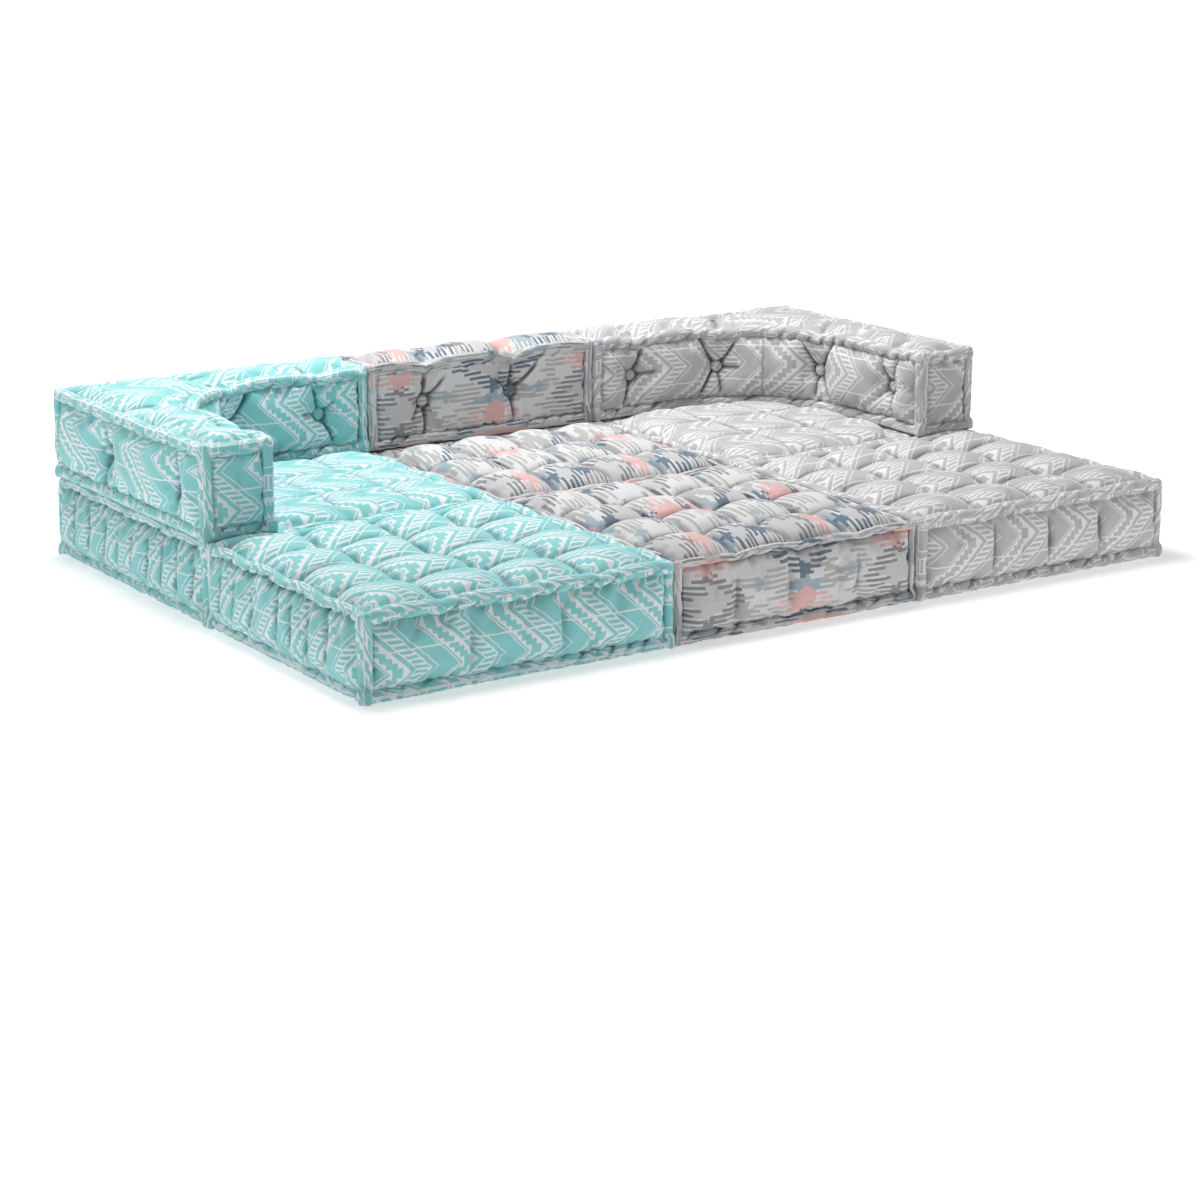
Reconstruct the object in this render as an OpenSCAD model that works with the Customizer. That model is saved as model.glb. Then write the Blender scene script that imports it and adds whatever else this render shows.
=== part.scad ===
// Low floor sofa made of nine loose, tufted mattress cushions.
// Six seat cushions lie in three columns and two rows. Two corner backs and one
// straight back stand on the rear row. Each cushion is a padded jacket over a
// foam core, closed by an underside panel, with rolled edges and tufting twine.
// X runs along the sofa, Y to its rear and Z up. Lengths are in millimetres.

/* [Seat cushions] */
// Width of each side column
side_w = 800; // [650:5:1000]
// Width of the middle column
mid_w = 705; // [600:5:1000]
// Depth of the front row
front_d = 735; // [600:5:1000]
// Depth of the rear row
rear_d = 840; // [750:5:1100]
// Height of a seat cushion over its rolled edges
seat_h = 200; // [160:5:260]
// Rise of a tufted bump above the rolled edge
seat_crown = 12; // [2:1:20]
// Rise of a rear seat in front of the backs
open_crown = 16; // [2:1:24]
// Depth of a tuft below the edge of the top panel
seat_tuft = 30; // [8:1:36]
// Number of tufts along each side of a seat
seat_tufts = 3; // [2:1:4]

/* [Back cushions] */
// Height of a back cushion
back_h = 222; // [190:2:300]
// Thickness of a back cushion
back_t = 185; // [160:5:240]
// Radius of the rounded inner corner
corner_r = 320; // [250:10:360]
// Rise of a back's top above its rolled edge
back_crown = 4; // [1:1:12]
// Depth of a buttoned tuft below the face
back_tuft = 22; // [8:1:24]
// Distance of the straight back's first button from its left end
button_start = 175; // [140:5:220]
// Distance between the straight back's buttons
button_pitch = 272; // [220:2:300]

/* [Upholstery] */
// Diameter of a rolled and stitched edge
roll_d = 24; // [16:1:30]
// Distance of a side's face inside its rolled edges
side_inset = 6.4; // [5.5:0.1:9]
// Bulge of a side between its rolled edges
side_bulge = 5; // [1:0.5:5]
// Least thickness of the padded jacket
jacket_t = 12; // [6:1:20]
// Thickness of an underside panel
underside_t = 4; // [2:0.5:8]

/* [Twine and buttons] */
// Diameter of the tufting twine
twine_d = 3; // [2:0.5:5]
// Clearance of the twine in the foam
twine_clear = 0.5; // [0.3:0.1:1]
// Diameter of a covered button
button_d = 33; // [24:1:40]
// Height of a button's dome
button_dome = 8; // [5:1:12]
// Thickness of a button's rim
button_rim = 4; // [3:0.5:6]
// Diameter of a button's shank
shank_d = 5; // [4:0.5:8]

/* [Clearances] */
// Gap between neighbouring cushions
cushion_gap = 0.6; // [0.4:0.1:2]
// Gap between a piece and what it rests or seats on
seat_clear = 0.3; // [0.2:0.05:0.5]

/* [Hidden] */
$fn = 48;

teal = [0.42, 0.74, 0.72];
ikat = [0.84, 0.83, 0.82];
grey = [0.66, 0.66, 0.68];
foam = [0.93, 0.89, 0.72];
twine = [0.55, 0.47, 0.36];
lining = [0.86, 0.84, 0.78];

// Rolled edges sit in notches: an edge of the jacket is cut by the plane where
// the distances from the cushion's two outer faces add up to notch.
roll_r = roll_d / 2;
notch = roll_d + (roll_r + seat_clear) * sqrt(2);
notch_mid = notch / 2;
shoulder = notch - side_inset;
bottom_shoulder = notch + roll_r;
jacket_side = notch + jacket_t;
jacket_top = side_inset + seat_tuft + jacket_t;

// Buttoned tufts of the backs, and the foam core behind them
button_floor = side_inset + back_tuft + 1;
back_mid_z = back_h / 2;
jacket_back_top = notch;
back_core_h = back_h - jacket_back_top - underside_t - 2 * seat_clear;

// Outer size of each cushion
side_size = side_w - cushion_gap;
mid_size = mid_w - cushion_gap;
front_size = front_d - cushion_gap;
rear_size = rear_d - cushion_gap;

// Places of the columns, the rows and the backs
total_w = 2 * side_w + mid_w;
total_d = front_d + rear_d;
left_x = -total_w / 2 + cushion_gap / 2;
mid_x = left_x + side_w;
right_x = mid_x + mid_w;
front_y = -total_d / 2 + cushion_gap / 2;
rear_y = front_y + front_d;
back_z = seat_h + seat_clear;

// Lattices of the padded forms: levels up a side, and cells between two tufts
seat_levels = 5;
back_levels = 6;
corner_rows = 6;
seat_cells = 3;
straight_cells = [3, 5, 4];
corner_tufts = 2;
corner_cells = 4;

// Shares of a bulge, a tuft or a rise that are left at a pleat, on a seat that
// lies smooth in front of the backs, and at a crease
pleat_share = 0.2;
smooth_share = 0.5;
crease_share = 0.35;

// Inner edge of a corner back: along the arm, round the corner, along the back
arm_run = rear_size - back_t - corner_r;
back_run = side_size - back_t - corner_r;
arc_run = corner_r * PI / 2;
inner_run = arm_run + arc_run + back_run;
corner_centre = [back_t + corner_r, arm_run];
half_cells = corner_tufts * corner_cells;
corner_lines = 2 * (half_cells + 2);
arm_step = (arm_run + arc_run / 2) / half_cells;
back_step = (back_run + arc_run / 2) / half_cells;
corner_ease = roll_d;
tuft_cells = [for (t = [0.5:corner_tufts]) t * corner_cells];
last_tuft = half_cells - corner_cells / 2;
arc_fn = 120;

// Stations on the arc lie a little behind it, so that the chords between them
// clear the rolled edge
chord_ease = 1 / cos(max(arm_step, back_step) / corner_r * 90 / PI);
shank_reach = jacket_side - button_floor - (corner_r + button_floor) * (chord_ease - 1);

// Runs of the tufts along the inner edge, from the arm's end to the back's
tuft_runs = concat(
    [for (q = tuft_cells) q * arm_step],
    [for (q = tuft_cells) inner_run - q * back_step]
);

function mix(a, b, t) = a + (b - a) * t;
function steps(from, to, count) = [for (c = [0:count - 1]) mix(from, to, c / count)];

// Height of level k between the bottom and top shoulders
function level(k, levels, h) = mix(shoulder, h - shoulder, (k - 1) / (levels - 2));

// Bulge of a side: none at its shoulders and full at its middle
function swell(k, levels) = sin(180 * (k - 1) / (levels - 2));

// Lattice lines across a cushion: its edge, its shoulder, then equal cells
function even_lines(length, cells) =
    [for (c = [0:cells]) mix(shoulder, length - shoulder, c / cells)];

// Place of lattice line i, where lines holds all but the two edges
function line_at(i, lines, length, edge, base) =
    i == 0 ? edge :
    i > len(lines) ? length - edge :
    base && i == 1 ? bottom_shoulder :
    base && i == len(lines) ? length - bottom_shoulder :
    lines[i - 1];

// Surface point (i, j, k) of a rectangular cushion. face gives the depth of a
// side's face at a line and a level, and rise the height of the top panel.
function block_point(i, j, k, xs, ys, size, levels, face, rise) =
    let (
        base = k == 0,
        top = k == levels,
        x_edge = i == 0 || i > len(xs),
        y_edge = j == 0 || j > len(ys),
        x_depth = base ? notch : top || y_edge ? notch_mid : face("x", i > 0, j, k),
        y_depth = base ? notch : top || x_edge ? notch_mid : face("y", j > 0, i, k)
    )
    [
        line_at(i, xs, size.x, x_depth, base),
        line_at(j, ys, size.y, y_depth, base),
        base ? 0 :
        !top ? level(k, levels, size.z) :
        x_edge || y_edge ? size.z - notch_mid :
        size.z - side_inset + rise(i, j)
    ];

// Place q of the ring round a level, as a column of the lattice
function ring_column(q, n, m) =
    q < n ? [q, 0] :
    q < n + m ? [n, q - n] :
    q < 2 * n + m ? [2 * n + m - q, m] :
    [0, 2 * (n + m) - q];

// Place on the ring of lattice column (i, j), undefined inside the ring
function ring_place(i, j, n, m) =
    j == 0 ? i :
    i == n ? n + j :
    j == m ? 2 * n + m - i :
    i == 0 ? 2 * (n + m) - j :
    undef;

// Index of top point (i, j), on the uppermost ring or inside it
function top_index(i, j, n, m, levels) =
    let (ring = 2 * (n + m), place = ring_place(i, j, n, m))
    levels * ring + (is_undef(place) ? ring + (j - 1) * (n - 1) + i - 1 : place);

// Flat underside: a strip of quads along the form, with a fan at each end
function underside_faces(n, m) =
    let (near = ring_place(1, 0, n, m), far = ring_place(n - 1, 0, n, m))
    concat(
        [for (j = [0:m - 1]) [near, ring_place(0, j + 1, n, m), ring_place(0, j, n, m)]],
        [[near, ring_place(1, m, n, m), ring_place(0, m, n, m)]],
        [for (i = [1:n - 2]) each let (c = ring_place(i + 1, m, n, m))
            [[i, i + 1, c], [i, c, ring_place(i, m, n, m)]]],
        [for (j = [0:m - 1]) [far, ring_place(n, j, n, m), ring_place(n, j + 1, n, m)]],
        [[far, ring_place(n, m, n, m), ring_place(n - 1, m, n, m)]]
    );

// Closed padded form over a lattice of n by m cells and some levels
module soft_form(n, m, levels, place) {
    ring = 2 * (n + m);
    ring_points = [
        for (k = [0:levels], q = [0:ring - 1])
        let (column = ring_column(q, n, m))
        place(column[0], column[1], k)
    ];
    top_points = [for (j = [1:m - 1], i = [1:n - 1]) place(i, j, levels)];
    sides = [
        for (k = [0:levels - 1], q = [0:ring - 1])
        let (a = k * ring + q, b = k * ring + (q + 1) % ring)
        each [[a, b + ring, b], [a, a + ring, b + ring]]
    ];
    top = [
        for (j = [0:m - 1], i = [0:n - 1])
        let (
            a = top_index(i, j, n, m, levels),
            b = top_index(i + 1, j, n, m, levels),
            c = top_index(i + 1, j + 1, n, m, levels),
            d = top_index(i, j + 1, n, m, levels)
        )
        each (i + j) % 2 == 0 ? [[a, d, c], [a, c, b]] : [[a, d, b], [b, d, c]]
    ];
    polyhedron(concat(ring_points, top_points),
        concat(sides, top, underside_faces(n, m)), convexity = 8);
}

// Depth of a seat's side face: gathered into pleats between its rolled edges
function seat_face(line, k) =
    let (pleat = (line - 1) % seat_cells == 0)
    side_inset - side_bulge * swell(k, seat_levels) * (pleat ? pleat_share : 1);

// Bulge of a tufted panel across one direction: 0 at a tuft's line
function pillow_at(i) = abs(sin(180 / seat_cells * (i - 1))) / sin(180 / seat_cells);

// Height of a seat's top panel over its lattice lines. open is how far a point
// lies in front of the backs, where backs stand on the seat.
function seat_rise(i, j, last, cell, open) =
    let (
        border = i == 1 || j == 1 || i == last || j == last,
        pillow = (pillow_at(i) + pillow_at(j)) / 2,
        tufted = (side_inset + seat_crown) * pillow - seat_tuft * (1 - pillow),
        smooth = side_inset + open_crown - seat_tuft * smooth_share * (1 - pillow)
    )
    border ? 0 :
    is_undef(open) ? tufted :
    smooth * min(1, max(0, (open / cell - 1) / seat_cells));

module seat_jacket(w, d, tint, open) {
    cells = seat_cells * (seat_tufts + 1);
    xs = even_lines(w, cells);
    ys = even_lines(d, cells);
    cell = (max(w, d) - 2 * shoulder) / cells;
    face = function(side, far, line, k) seat_face(line, k);
    rise = function(i, j) seat_rise(i, j, cells + 1, cell,
        is_undef(open) ? undef : open(xs[i - 1], ys[j - 1]));
    place = function(i, j, k)
        block_point(i, j, k, xs, ys, [w, d, seat_h], seat_levels, face, rise);
    color(tint)
    difference() {
        soft_form(cells + 2, cells + 2, seat_levels, place);
        translate([jacket_side, jacket_side, -1])
        cube([w - 2 * jacket_side, d - 2 * jacket_side, seat_h - jacket_top + 1]);
    }
}

// Tufting twine, or with some clearance the holes for it
module seat_twine(w, d, clear) {
    span = [w - 2 * shoulder, d - 2 * shoulder] / (seat_tufts + 1);
    for (a = [1:seat_tufts], b = [1:seat_tufts])
    translate([shoulder + a * span.x, shoulder + b * span.y, underside_t + seat_clear - clear])
    cylinder(d = twine_d + 2 * clear,
        h = seat_h - jacket_top - underside_t - 2 * seat_clear + 2 * clear);
}

module seat_core(w, d) {
    inset = jacket_side + seat_clear;
    color(foam)
    difference() {
        translate([inset, inset, underside_t + seat_clear])
        cube([w - 2 * inset, d - 2 * inset,
            seat_h - jacket_top - underside_t - 2 * seat_clear]);
        seat_twine(w, d, twine_clear);
    }
}

module seat_underside(w, d) {
    inset = jacket_side + seat_clear;
    color(lining)
    translate([inset, inset, 0])
    cube([w - 2 * inset, d - 2 * inset, underside_t]);
}

// Straight rolled edge between two points of a cushion
module roll(from, to) {
    run = to - from;
    length = norm(run);
    translate(from)
    rotate([0, acos(run.z / length), atan2(run.y, run.x)])
    cylinder(d = roll_d, h = length);
}

// Rounded corner where rolled edges meet
module knuckle(place) {
    translate(place)
    sphere(d = roll_d);
}

// The twelve rolled edges of a rectangular cushion
module box_rolls(size, tint) {
    near = roll_r;
    far = size - [roll_r, roll_r, roll_r];
    color(tint)
    union() {
        for (y = [near, far.y], z = [near, far.z]) roll([near, y, z], [far.x, y, z]);
        for (x = [near, far.x], z = [near, far.z]) roll([x, near, z], [x, far.y, z]);
        for (x = [near, far.x], y = [near, far.y]) roll([x, y, near], [x, y, far.z]);
        for (x = [near, far.x], y = [near, far.y], z = [near, far.z]) knuckle([x, y, z]);
    }
}

// Pull of a buttoned tuft at level k: full at mid height, slight at the edges
function pull(k) = max(0, 1 - abs(k - back_levels / 2) / (back_levels / 2 - 0.5));

// Depth of a back's face, at a tufted line or between tufts
function back_face(tufted, k) =
    tufted ? side_inset + back_tuft * pull(k) :
    side_inset - side_bulge * swell(k, back_levels);

// Height of a back's top panel, where v runs from its inner to its outer edge
function back_rise(v, crease) =
    (side_inset + back_crown) * sin(180 * v) * (crease ? crease_share : 1);

// A button faces -Y at the origin, which is the floor of its recess
module button() {
    rotate([90, 0, 0]) {
        translate([0, 0, seat_clear])
        cylinder(d = button_d, h = button_rim);
        translate([0, 0, seat_clear + button_rim])
        cap_dome(button_d / 2, button_dome - button_rim);
        translate([0, 0, -shank_reach])
        cylinder(d = shank_d, h = shank_reach + seat_clear + button_rim / 2);
    }
}

// Spherical cap of a given base radius and height
module cap_dome(base_r, height) {
    ball_r = (base_r * base_r + height * height) / (2 * height);
    intersection() {
        translate([0, 0, height - ball_r])
        sphere(r = ball_r);
        cylinder(r = base_r, h = height);
    }
}

// Recess for a button and hole for its shank, cut in the jacket
module button_seat() {
    rotate([90, 0, 0]) {
        cylinder(d = button_d + 2 * seat_clear, h = back_tuft + side_inset + 1);
        translate([0, 0, button_floor - jacket_side - 1])
        cylinder(d = shank_d + 2 * seat_clear, h = jacket_side - button_floor + 2);
    }
}

// Straight back between the corner backs
button_xs = [button_start, button_start + button_pitch];

module straight_back_cover() {
    xs = concat(
        steps(shoulder, button_xs[0], straight_cells[0]),
        steps(button_xs[0], button_xs[1], straight_cells[1]),
        steps(button_xs[1], mid_size - shoulder, straight_cells[2]),
        [mid_size - shoulder]
    );
    ys = even_lines(back_t, 2);
    first = straight_cells[0] + 1;
    second = first + straight_cells[1];
    face = function(side, far, line, k)
        back_face(side == "y" && (line == first || line == second), k);
    rise = function(i, j)
        i == 1 || i == len(xs) ? 0 :
        back_rise((j - 1) / 2, i == first || i == second);
    place = function(i, j, k)
        block_point(i, j, k, xs, ys, [mid_size, back_t, back_h], back_levels, face, rise);
    color(ikat)
    difference() {
        soft_form(len(xs) + 1, len(ys) + 1, back_levels, place);
        translate([jacket_side, jacket_side, -1])
        cube([mid_size - 2 * jacket_side, back_t - 2 * jacket_side,
            back_h - jacket_back_top + 1]);
        for (x = button_xs)
        translate([x, button_floor, back_mid_z])
        button_seat();
    }
}

// Twine through a back, from behind a button to the given reach. Its hole is
// wider by clear and goes on beyond the foam.
module back_twine(reach, clear = 0, beyond = 0) {
    start = jacket_side + seat_clear - beyond;
    rotate([-90, 0, 0])
    translate([0, 0, start])
    cylinder(d = twine_d + 2 * clear, h = reach + beyond - start);
}

straight_reach = back_t - jacket_side - seat_clear;

module straight_back_core() {
    inset = jacket_side + seat_clear;
    color(foam)
    difference() {
        translate([inset, inset, underside_t + seat_clear])
        cube([mid_size - 2 * inset, back_t - 2 * inset, back_core_h]);
        for (x = button_xs)
        translate([x, 0, back_mid_z])
        back_twine(straight_reach, twine_clear, twine_d);
    }
}

module straight_back_ties() {
    color(twine)
    for (x = button_xs)
    translate([x, 0, back_mid_z])
    back_twine(straight_reach);
}

module straight_back_underside() {
    inset = jacket_side + seat_clear;
    color(lining)
    translate([inset, inset, 0])
    cube([mid_size - 2 * inset, back_t - 2 * inset, underside_t]);
}

module straight_back_buttons() {
    color(ikat)
    for (x = button_xs)
    translate([x, button_floor, back_mid_z])
    button();
}

// Turn of the corner back's inner face at run s: 0 faces +X and 90 faces -Y
function face_turn(s) = min(90, max(0, (s - arm_run) / corner_r * 180 / PI));

// Point of the corner back's inner edge at run s, moved into the cushion
function inner_at(s, depth) =
    let (turn = face_turn(s))
    turn == 0 ? [back_t - depth, s] :
    turn < 90 ? corner_centre + (corner_r + depth) * chord_ease * [-cos(turn), sin(turn)] :
    [corner_centre.x + s - arm_run - arc_run, rear_size - back_t + depth];

// Run of station i round the corner back, where both ends are its end faces
function station_run(i, end_depth, base) =
    let (last = corner_lines, first = base ? bottom_shoulder : shoulder, half = last / 2)
    i == 0 ? end_depth :
    i == 1 ? first :
    i < half - 1 ? (i - 1) * arm_step :
    i == half - 1 ? half_cells * arm_step - corner_ease :
    i == half ? half_cells * arm_step :
    i == half + 1 ? half_cells * arm_step + corner_ease :
    i < last - 1 ? inner_run - (last - 1 - i) * back_step :
    i == last - 1 ? inner_run - first :
    inner_run - end_depth;

// Point of the corner back's outer edge opposite station i
function outer_at(i, s, depth) =
    let (
        half = corner_lines / 2,
        ease = depth > notch_mid ? corner_ease : 0,
        square = max(depth, notch_mid),
        arm_y = inner_at(min(s, last_tuft * arm_step), 0).y,
        back_x = inner_at(max(s, inner_run - last_tuft * back_step), 0).x
    )
    i < half - 2 ? [depth, arm_y] :
    i == half - 2 ? [depth, (arm_y + rear_size - shoulder) / 2] :
    i == half - 1 ? [depth, rear_size - shoulder - ease] :
    i == half ? [square, rear_size - square] :
    i == half + 1 ? [shoulder + ease, rear_size - depth] :
    i == half + 2 ? [(back_x + shoulder) / 2, rear_size - depth] :
    [back_x, rear_size - depth];

// Whether station i of the corner back carries a tuft
function corner_tufted(i) =
    let (q = i <= corner_lines / 2 ? i - 1 : corner_lines - 1 - i)
    q > 0 && q < half_cells && q % corner_cells == corner_cells / 2;

// Surface point (i, j, k) of a corner back, i along it and j across it
corner_place = function(i, j, k)
    let (
        base = k == 0,
        top = k == back_levels,
        is_end = i == 0 || i == corner_lines,
        is_side = j == 0 || j == corner_rows,
        end_depth = base ? notch : top || is_side ? notch_mid : back_face(false, k),
        s = station_run(i, end_depth, base),
        depth = base ? notch : top || is_end ? notch_mid : back_face(corner_tufted(i), k),
        inner_shoulder = base ? bottom_shoulder : shoulder,
        v = (j - 1) / (corner_rows - 2),
        flat = j == 0 ? inner_at(s, depth) :
            j == corner_rows ? outer_at(i, s, depth) :
            mix(inner_at(s, inner_shoulder), outer_at(i, s, inner_shoulder), v),
        z = base ? 0 :
            !top ? level(k, back_levels, back_h) :
            is_end || is_side ? back_h - notch_mid :
            i == 1 || i == corner_lines - 1 ? back_h - side_inset :
            back_h - side_inset + back_rise(v, corner_tufted(i))
    )
    [flat.x, flat.y, z];

// Outline of a corner back, moved in from its outer faces by inset
module corner_outline(inset) {
    difference() {
        translate([inset, inset])
        square([side_size - 2 * inset, rear_size - 2 * inset]);
        translate([back_t - inset, -1])
        square([side_size, arm_run + 1]);
        translate([corner_centre.x, -1])
        square([side_size, rear_size - back_t + inset + 1]);
        translate(corner_centre)
        circle(r = corner_r + inset, $fn = arc_fn);
    }
}

// Places what faces -Y at a corner back's tuft at run s, behind its inner edge
module at_tuft(s, depth) {
    p = inner_at(s, depth);
    translate([p.x, p.y, back_mid_z])
    rotate([0, 0, 90 - face_turn(s)])
    children();
}

module corner_back_cover(tint) {
    color(tint)
    difference() {
        soft_form(corner_lines, corner_rows, back_levels, corner_place);
        translate([0, 0, -1])
        linear_extrude(back_h - jacket_back_top + 1)
        corner_outline(jacket_side);
        for (s = tuft_runs)
        at_tuft(s, button_floor)
        button_seat();
    }
}

// Distance from the inner edge at run s, through the tuft, to the far side of
// the core, less the slant of the twine's end
function corner_reach(s) =
    let (
        p = inner_at(s, 0),
        turn = face_turn(s),
        inset = jacket_side + seat_clear,
        far = turn < 45 ? (p.x - inset) / cos(turn) : (rear_size - inset - p.y) / sin(turn)
    )
    far - twine_d * sin(2 * turn);

module corner_twine(clear = 0, beyond = 0) {
    for (s = tuft_runs)
    at_tuft(s, 0)
    back_twine(corner_reach(s), clear, beyond);
}

module corner_back_core() {
    color(foam)
    difference() {
        translate([0, 0, underside_t + seat_clear])
        linear_extrude(back_core_h)
        corner_outline(jacket_side + seat_clear);
        corner_twine(twine_clear, 2 * twine_d);
    }
}

module corner_back_ties() {
    color(twine)
    corner_twine();
}

module corner_back_underside() {
    color(lining)
    linear_extrude(underside_t)
    corner_outline(jacket_side + seat_clear);
}

module corner_back_buttons(tint) {
    color(tint)
    for (s = tuft_runs)
    at_tuft(s, button_floor)
    button();
}

// Rolled edges round one face of a corner back, and up its five outer corners
module corner_back_rolls(tint) {
    near = roll_r;
    far_x = side_size - roll_r;
    far_y = rear_size - roll_r;
    arm_x = back_t - roll_r;
    back_y = rear_size - back_t + roll_r;
    posts = [[near, near], [arm_x, near], [far_x, back_y], [far_x, far_y], [near, far_y]];
    color(tint)
    union() {
        for (z = [roll_r, back_h - roll_r]) {
            roll([near, near, z], [arm_x, near, z]);
            roll([arm_x, near, z], [arm_x, arm_run, z]);
            translate([corner_centre.x, corner_centre.y, z])
            rotate([0, 0, 90])
            rotate_extrude(angle = 90, $fn = arc_fn)
            translate([corner_r + roll_r, 0])
            circle(r = roll_r);
            roll([corner_centre.x, back_y, z], [far_x, back_y, z]);
            roll([far_x, back_y, z], [far_x, far_y, z]);
            roll([far_x, far_y, z], [near, far_y, z]);
            roll([near, far_y, z], [near, near, z]);
        }
        for (p = posts) roll([p.x, p.y, roll_r], [p.x, p.y, back_h - roll_r]);
        for (p = posts, z = [roll_r, back_h - roll_r]) knuckle([p.x, p.y, z]);
    }
}

// How far a point of a rear seat lies in front of the back that stands on it
by_corner = function(x, y)
    let (from_centre = [x, y] - corner_centre)
    from_centre.x < 0 && from_centre.y > 0 ?
        corner_r - norm(from_centre) :
    min(x - back_t, rear_size - back_t - y);
by_straight = function(x, y) rear_size - back_t - y;

// Places a cushion of the left column, and its mirror in the right column
module on_left(y, z = 0) {
    translate([left_x, y, z])
    children();
}

module on_right(y, z = 0) {
    translate([right_x + side_size, y, z])
    mirror([1, 0, 0])
    children();
}

module in_middle(y, z = 0) {
    translate([mid_x, y, z])
    children();
}

module front_left_seat_cover() { on_left(front_y) seat_jacket(side_size, front_size, teal); }
module front_left_seat_core() { on_left(front_y) seat_core(side_size, front_size); }
module front_left_seat_rolls() { on_left(front_y) box_rolls([side_size, front_size, seat_h], teal); }
module front_left_seat_ties() { on_left(front_y) color(twine) seat_twine(side_size, front_size, 0); }
module front_left_seat_underside() { on_left(front_y) seat_underside(side_size, front_size); }

module front_middle_seat_cover() { in_middle(front_y) seat_jacket(mid_size, front_size, ikat); }
module front_middle_seat_core() { in_middle(front_y) seat_core(mid_size, front_size); }
module front_middle_seat_rolls() { in_middle(front_y) box_rolls([mid_size, front_size, seat_h], ikat); }
module front_middle_seat_ties() { in_middle(front_y) color(twine) seat_twine(mid_size, front_size, 0); }
module front_middle_seat_underside() { in_middle(front_y) seat_underside(mid_size, front_size); }

module front_right_seat_cover() { on_right(front_y) seat_jacket(side_size, front_size, grey); }
module front_right_seat_core() { on_right(front_y) seat_core(side_size, front_size); }
module front_right_seat_rolls() { on_right(front_y) box_rolls([side_size, front_size, seat_h], grey); }
module front_right_seat_ties() { on_right(front_y) color(twine) seat_twine(side_size, front_size, 0); }
module front_right_seat_underside() { on_right(front_y) seat_underside(side_size, front_size); }

module rear_left_seat_cover() { on_left(rear_y) seat_jacket(side_size, rear_size, teal, by_corner); }
module rear_left_seat_core() { on_left(rear_y) seat_core(side_size, rear_size); }
module rear_left_seat_rolls() { on_left(rear_y) box_rolls([side_size, rear_size, seat_h], teal); }
module rear_left_seat_ties() { on_left(rear_y) color(twine) seat_twine(side_size, rear_size, 0); }
module rear_left_seat_underside() { on_left(rear_y) seat_underside(side_size, rear_size); }

module rear_middle_seat_cover() { in_middle(rear_y) seat_jacket(mid_size, rear_size, ikat, by_straight); }
module rear_middle_seat_core() { in_middle(rear_y) seat_core(mid_size, rear_size); }
module rear_middle_seat_rolls() { in_middle(rear_y) box_rolls([mid_size, rear_size, seat_h], ikat); }
module rear_middle_seat_ties() { in_middle(rear_y) color(twine) seat_twine(mid_size, rear_size, 0); }
module rear_middle_seat_underside() { in_middle(rear_y) seat_underside(mid_size, rear_size); }

module rear_right_seat_cover() { on_right(rear_y) seat_jacket(side_size, rear_size, grey, by_corner); }
module rear_right_seat_core() { on_right(rear_y) seat_core(side_size, rear_size); }
module rear_right_seat_rolls() { on_right(rear_y) box_rolls([side_size, rear_size, seat_h], grey); }
module rear_right_seat_ties() { on_right(rear_y) color(twine) seat_twine(side_size, rear_size, 0); }
module rear_right_seat_underside() { on_right(rear_y) seat_underside(side_size, rear_size); }

module left_back_cover() { on_left(rear_y, back_z) corner_back_cover(teal); }
module left_back_core() { on_left(rear_y, back_z) corner_back_core(); }
module left_back_rolls() { on_left(rear_y, back_z) corner_back_rolls(teal); }
module left_back_ties() { on_left(rear_y, back_z) corner_back_ties(); }
module left_back_underside() { on_left(rear_y, back_z) corner_back_underside(); }
module left_back_buttons() { on_left(rear_y, back_z) corner_back_buttons(teal); }

straight_y = rear_y + rear_size - back_t;
module middle_back_cover() { in_middle(straight_y, back_z) straight_back_cover(); }
module middle_back_core() { in_middle(straight_y, back_z) straight_back_core(); }
module middle_back_rolls() { in_middle(straight_y, back_z) box_rolls([mid_size, back_t, back_h], ikat); }
module middle_back_ties() { in_middle(straight_y, back_z) straight_back_ties(); }
module middle_back_underside() { in_middle(straight_y, back_z) straight_back_underside(); }
module middle_back_buttons() { in_middle(straight_y, back_z) straight_back_buttons(); }

module right_back_cover() { on_right(rear_y, back_z) corner_back_cover(grey); }
module right_back_core() { on_right(rear_y, back_z) corner_back_core(); }
module right_back_rolls() { on_right(rear_y, back_z) corner_back_rolls(grey); }
module right_back_ties() { on_right(rear_y, back_z) corner_back_ties(); }
module right_back_underside() { on_right(rear_y, back_z) corner_back_underside(); }
module right_back_buttons() { on_right(rear_y, back_z) corner_back_buttons(grey); }

front_left_seat_cover();
front_left_seat_core();
front_left_seat_rolls();
front_left_seat_ties();
front_left_seat_underside();
front_middle_seat_cover();
front_middle_seat_core();
front_middle_seat_rolls();
front_middle_seat_ties();
front_middle_seat_underside();
front_right_seat_cover();
front_right_seat_core();
front_right_seat_rolls();
front_right_seat_ties();
front_right_seat_underside();
rear_left_seat_cover();
rear_left_seat_core();
rear_left_seat_rolls();
rear_left_seat_ties();
rear_left_seat_underside();
rear_middle_seat_cover();
rear_middle_seat_core();
rear_middle_seat_rolls();
rear_middle_seat_ties();
rear_middle_seat_underside();
rear_right_seat_cover();
rear_right_seat_core();
rear_right_seat_rolls();
rear_right_seat_ties();
rear_right_seat_underside();
left_back_cover();
left_back_core();
left_back_rolls();
left_back_ties();
left_back_underside();
left_back_buttons();
middle_back_cover();
middle_back_core();
middle_back_rolls();
middle_back_ties();
middle_back_underside();
middle_back_buttons();
right_back_cover();
right_back_core();
right_back_rolls();
right_back_ties();
right_back_underside();
right_back_buttons();
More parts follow.
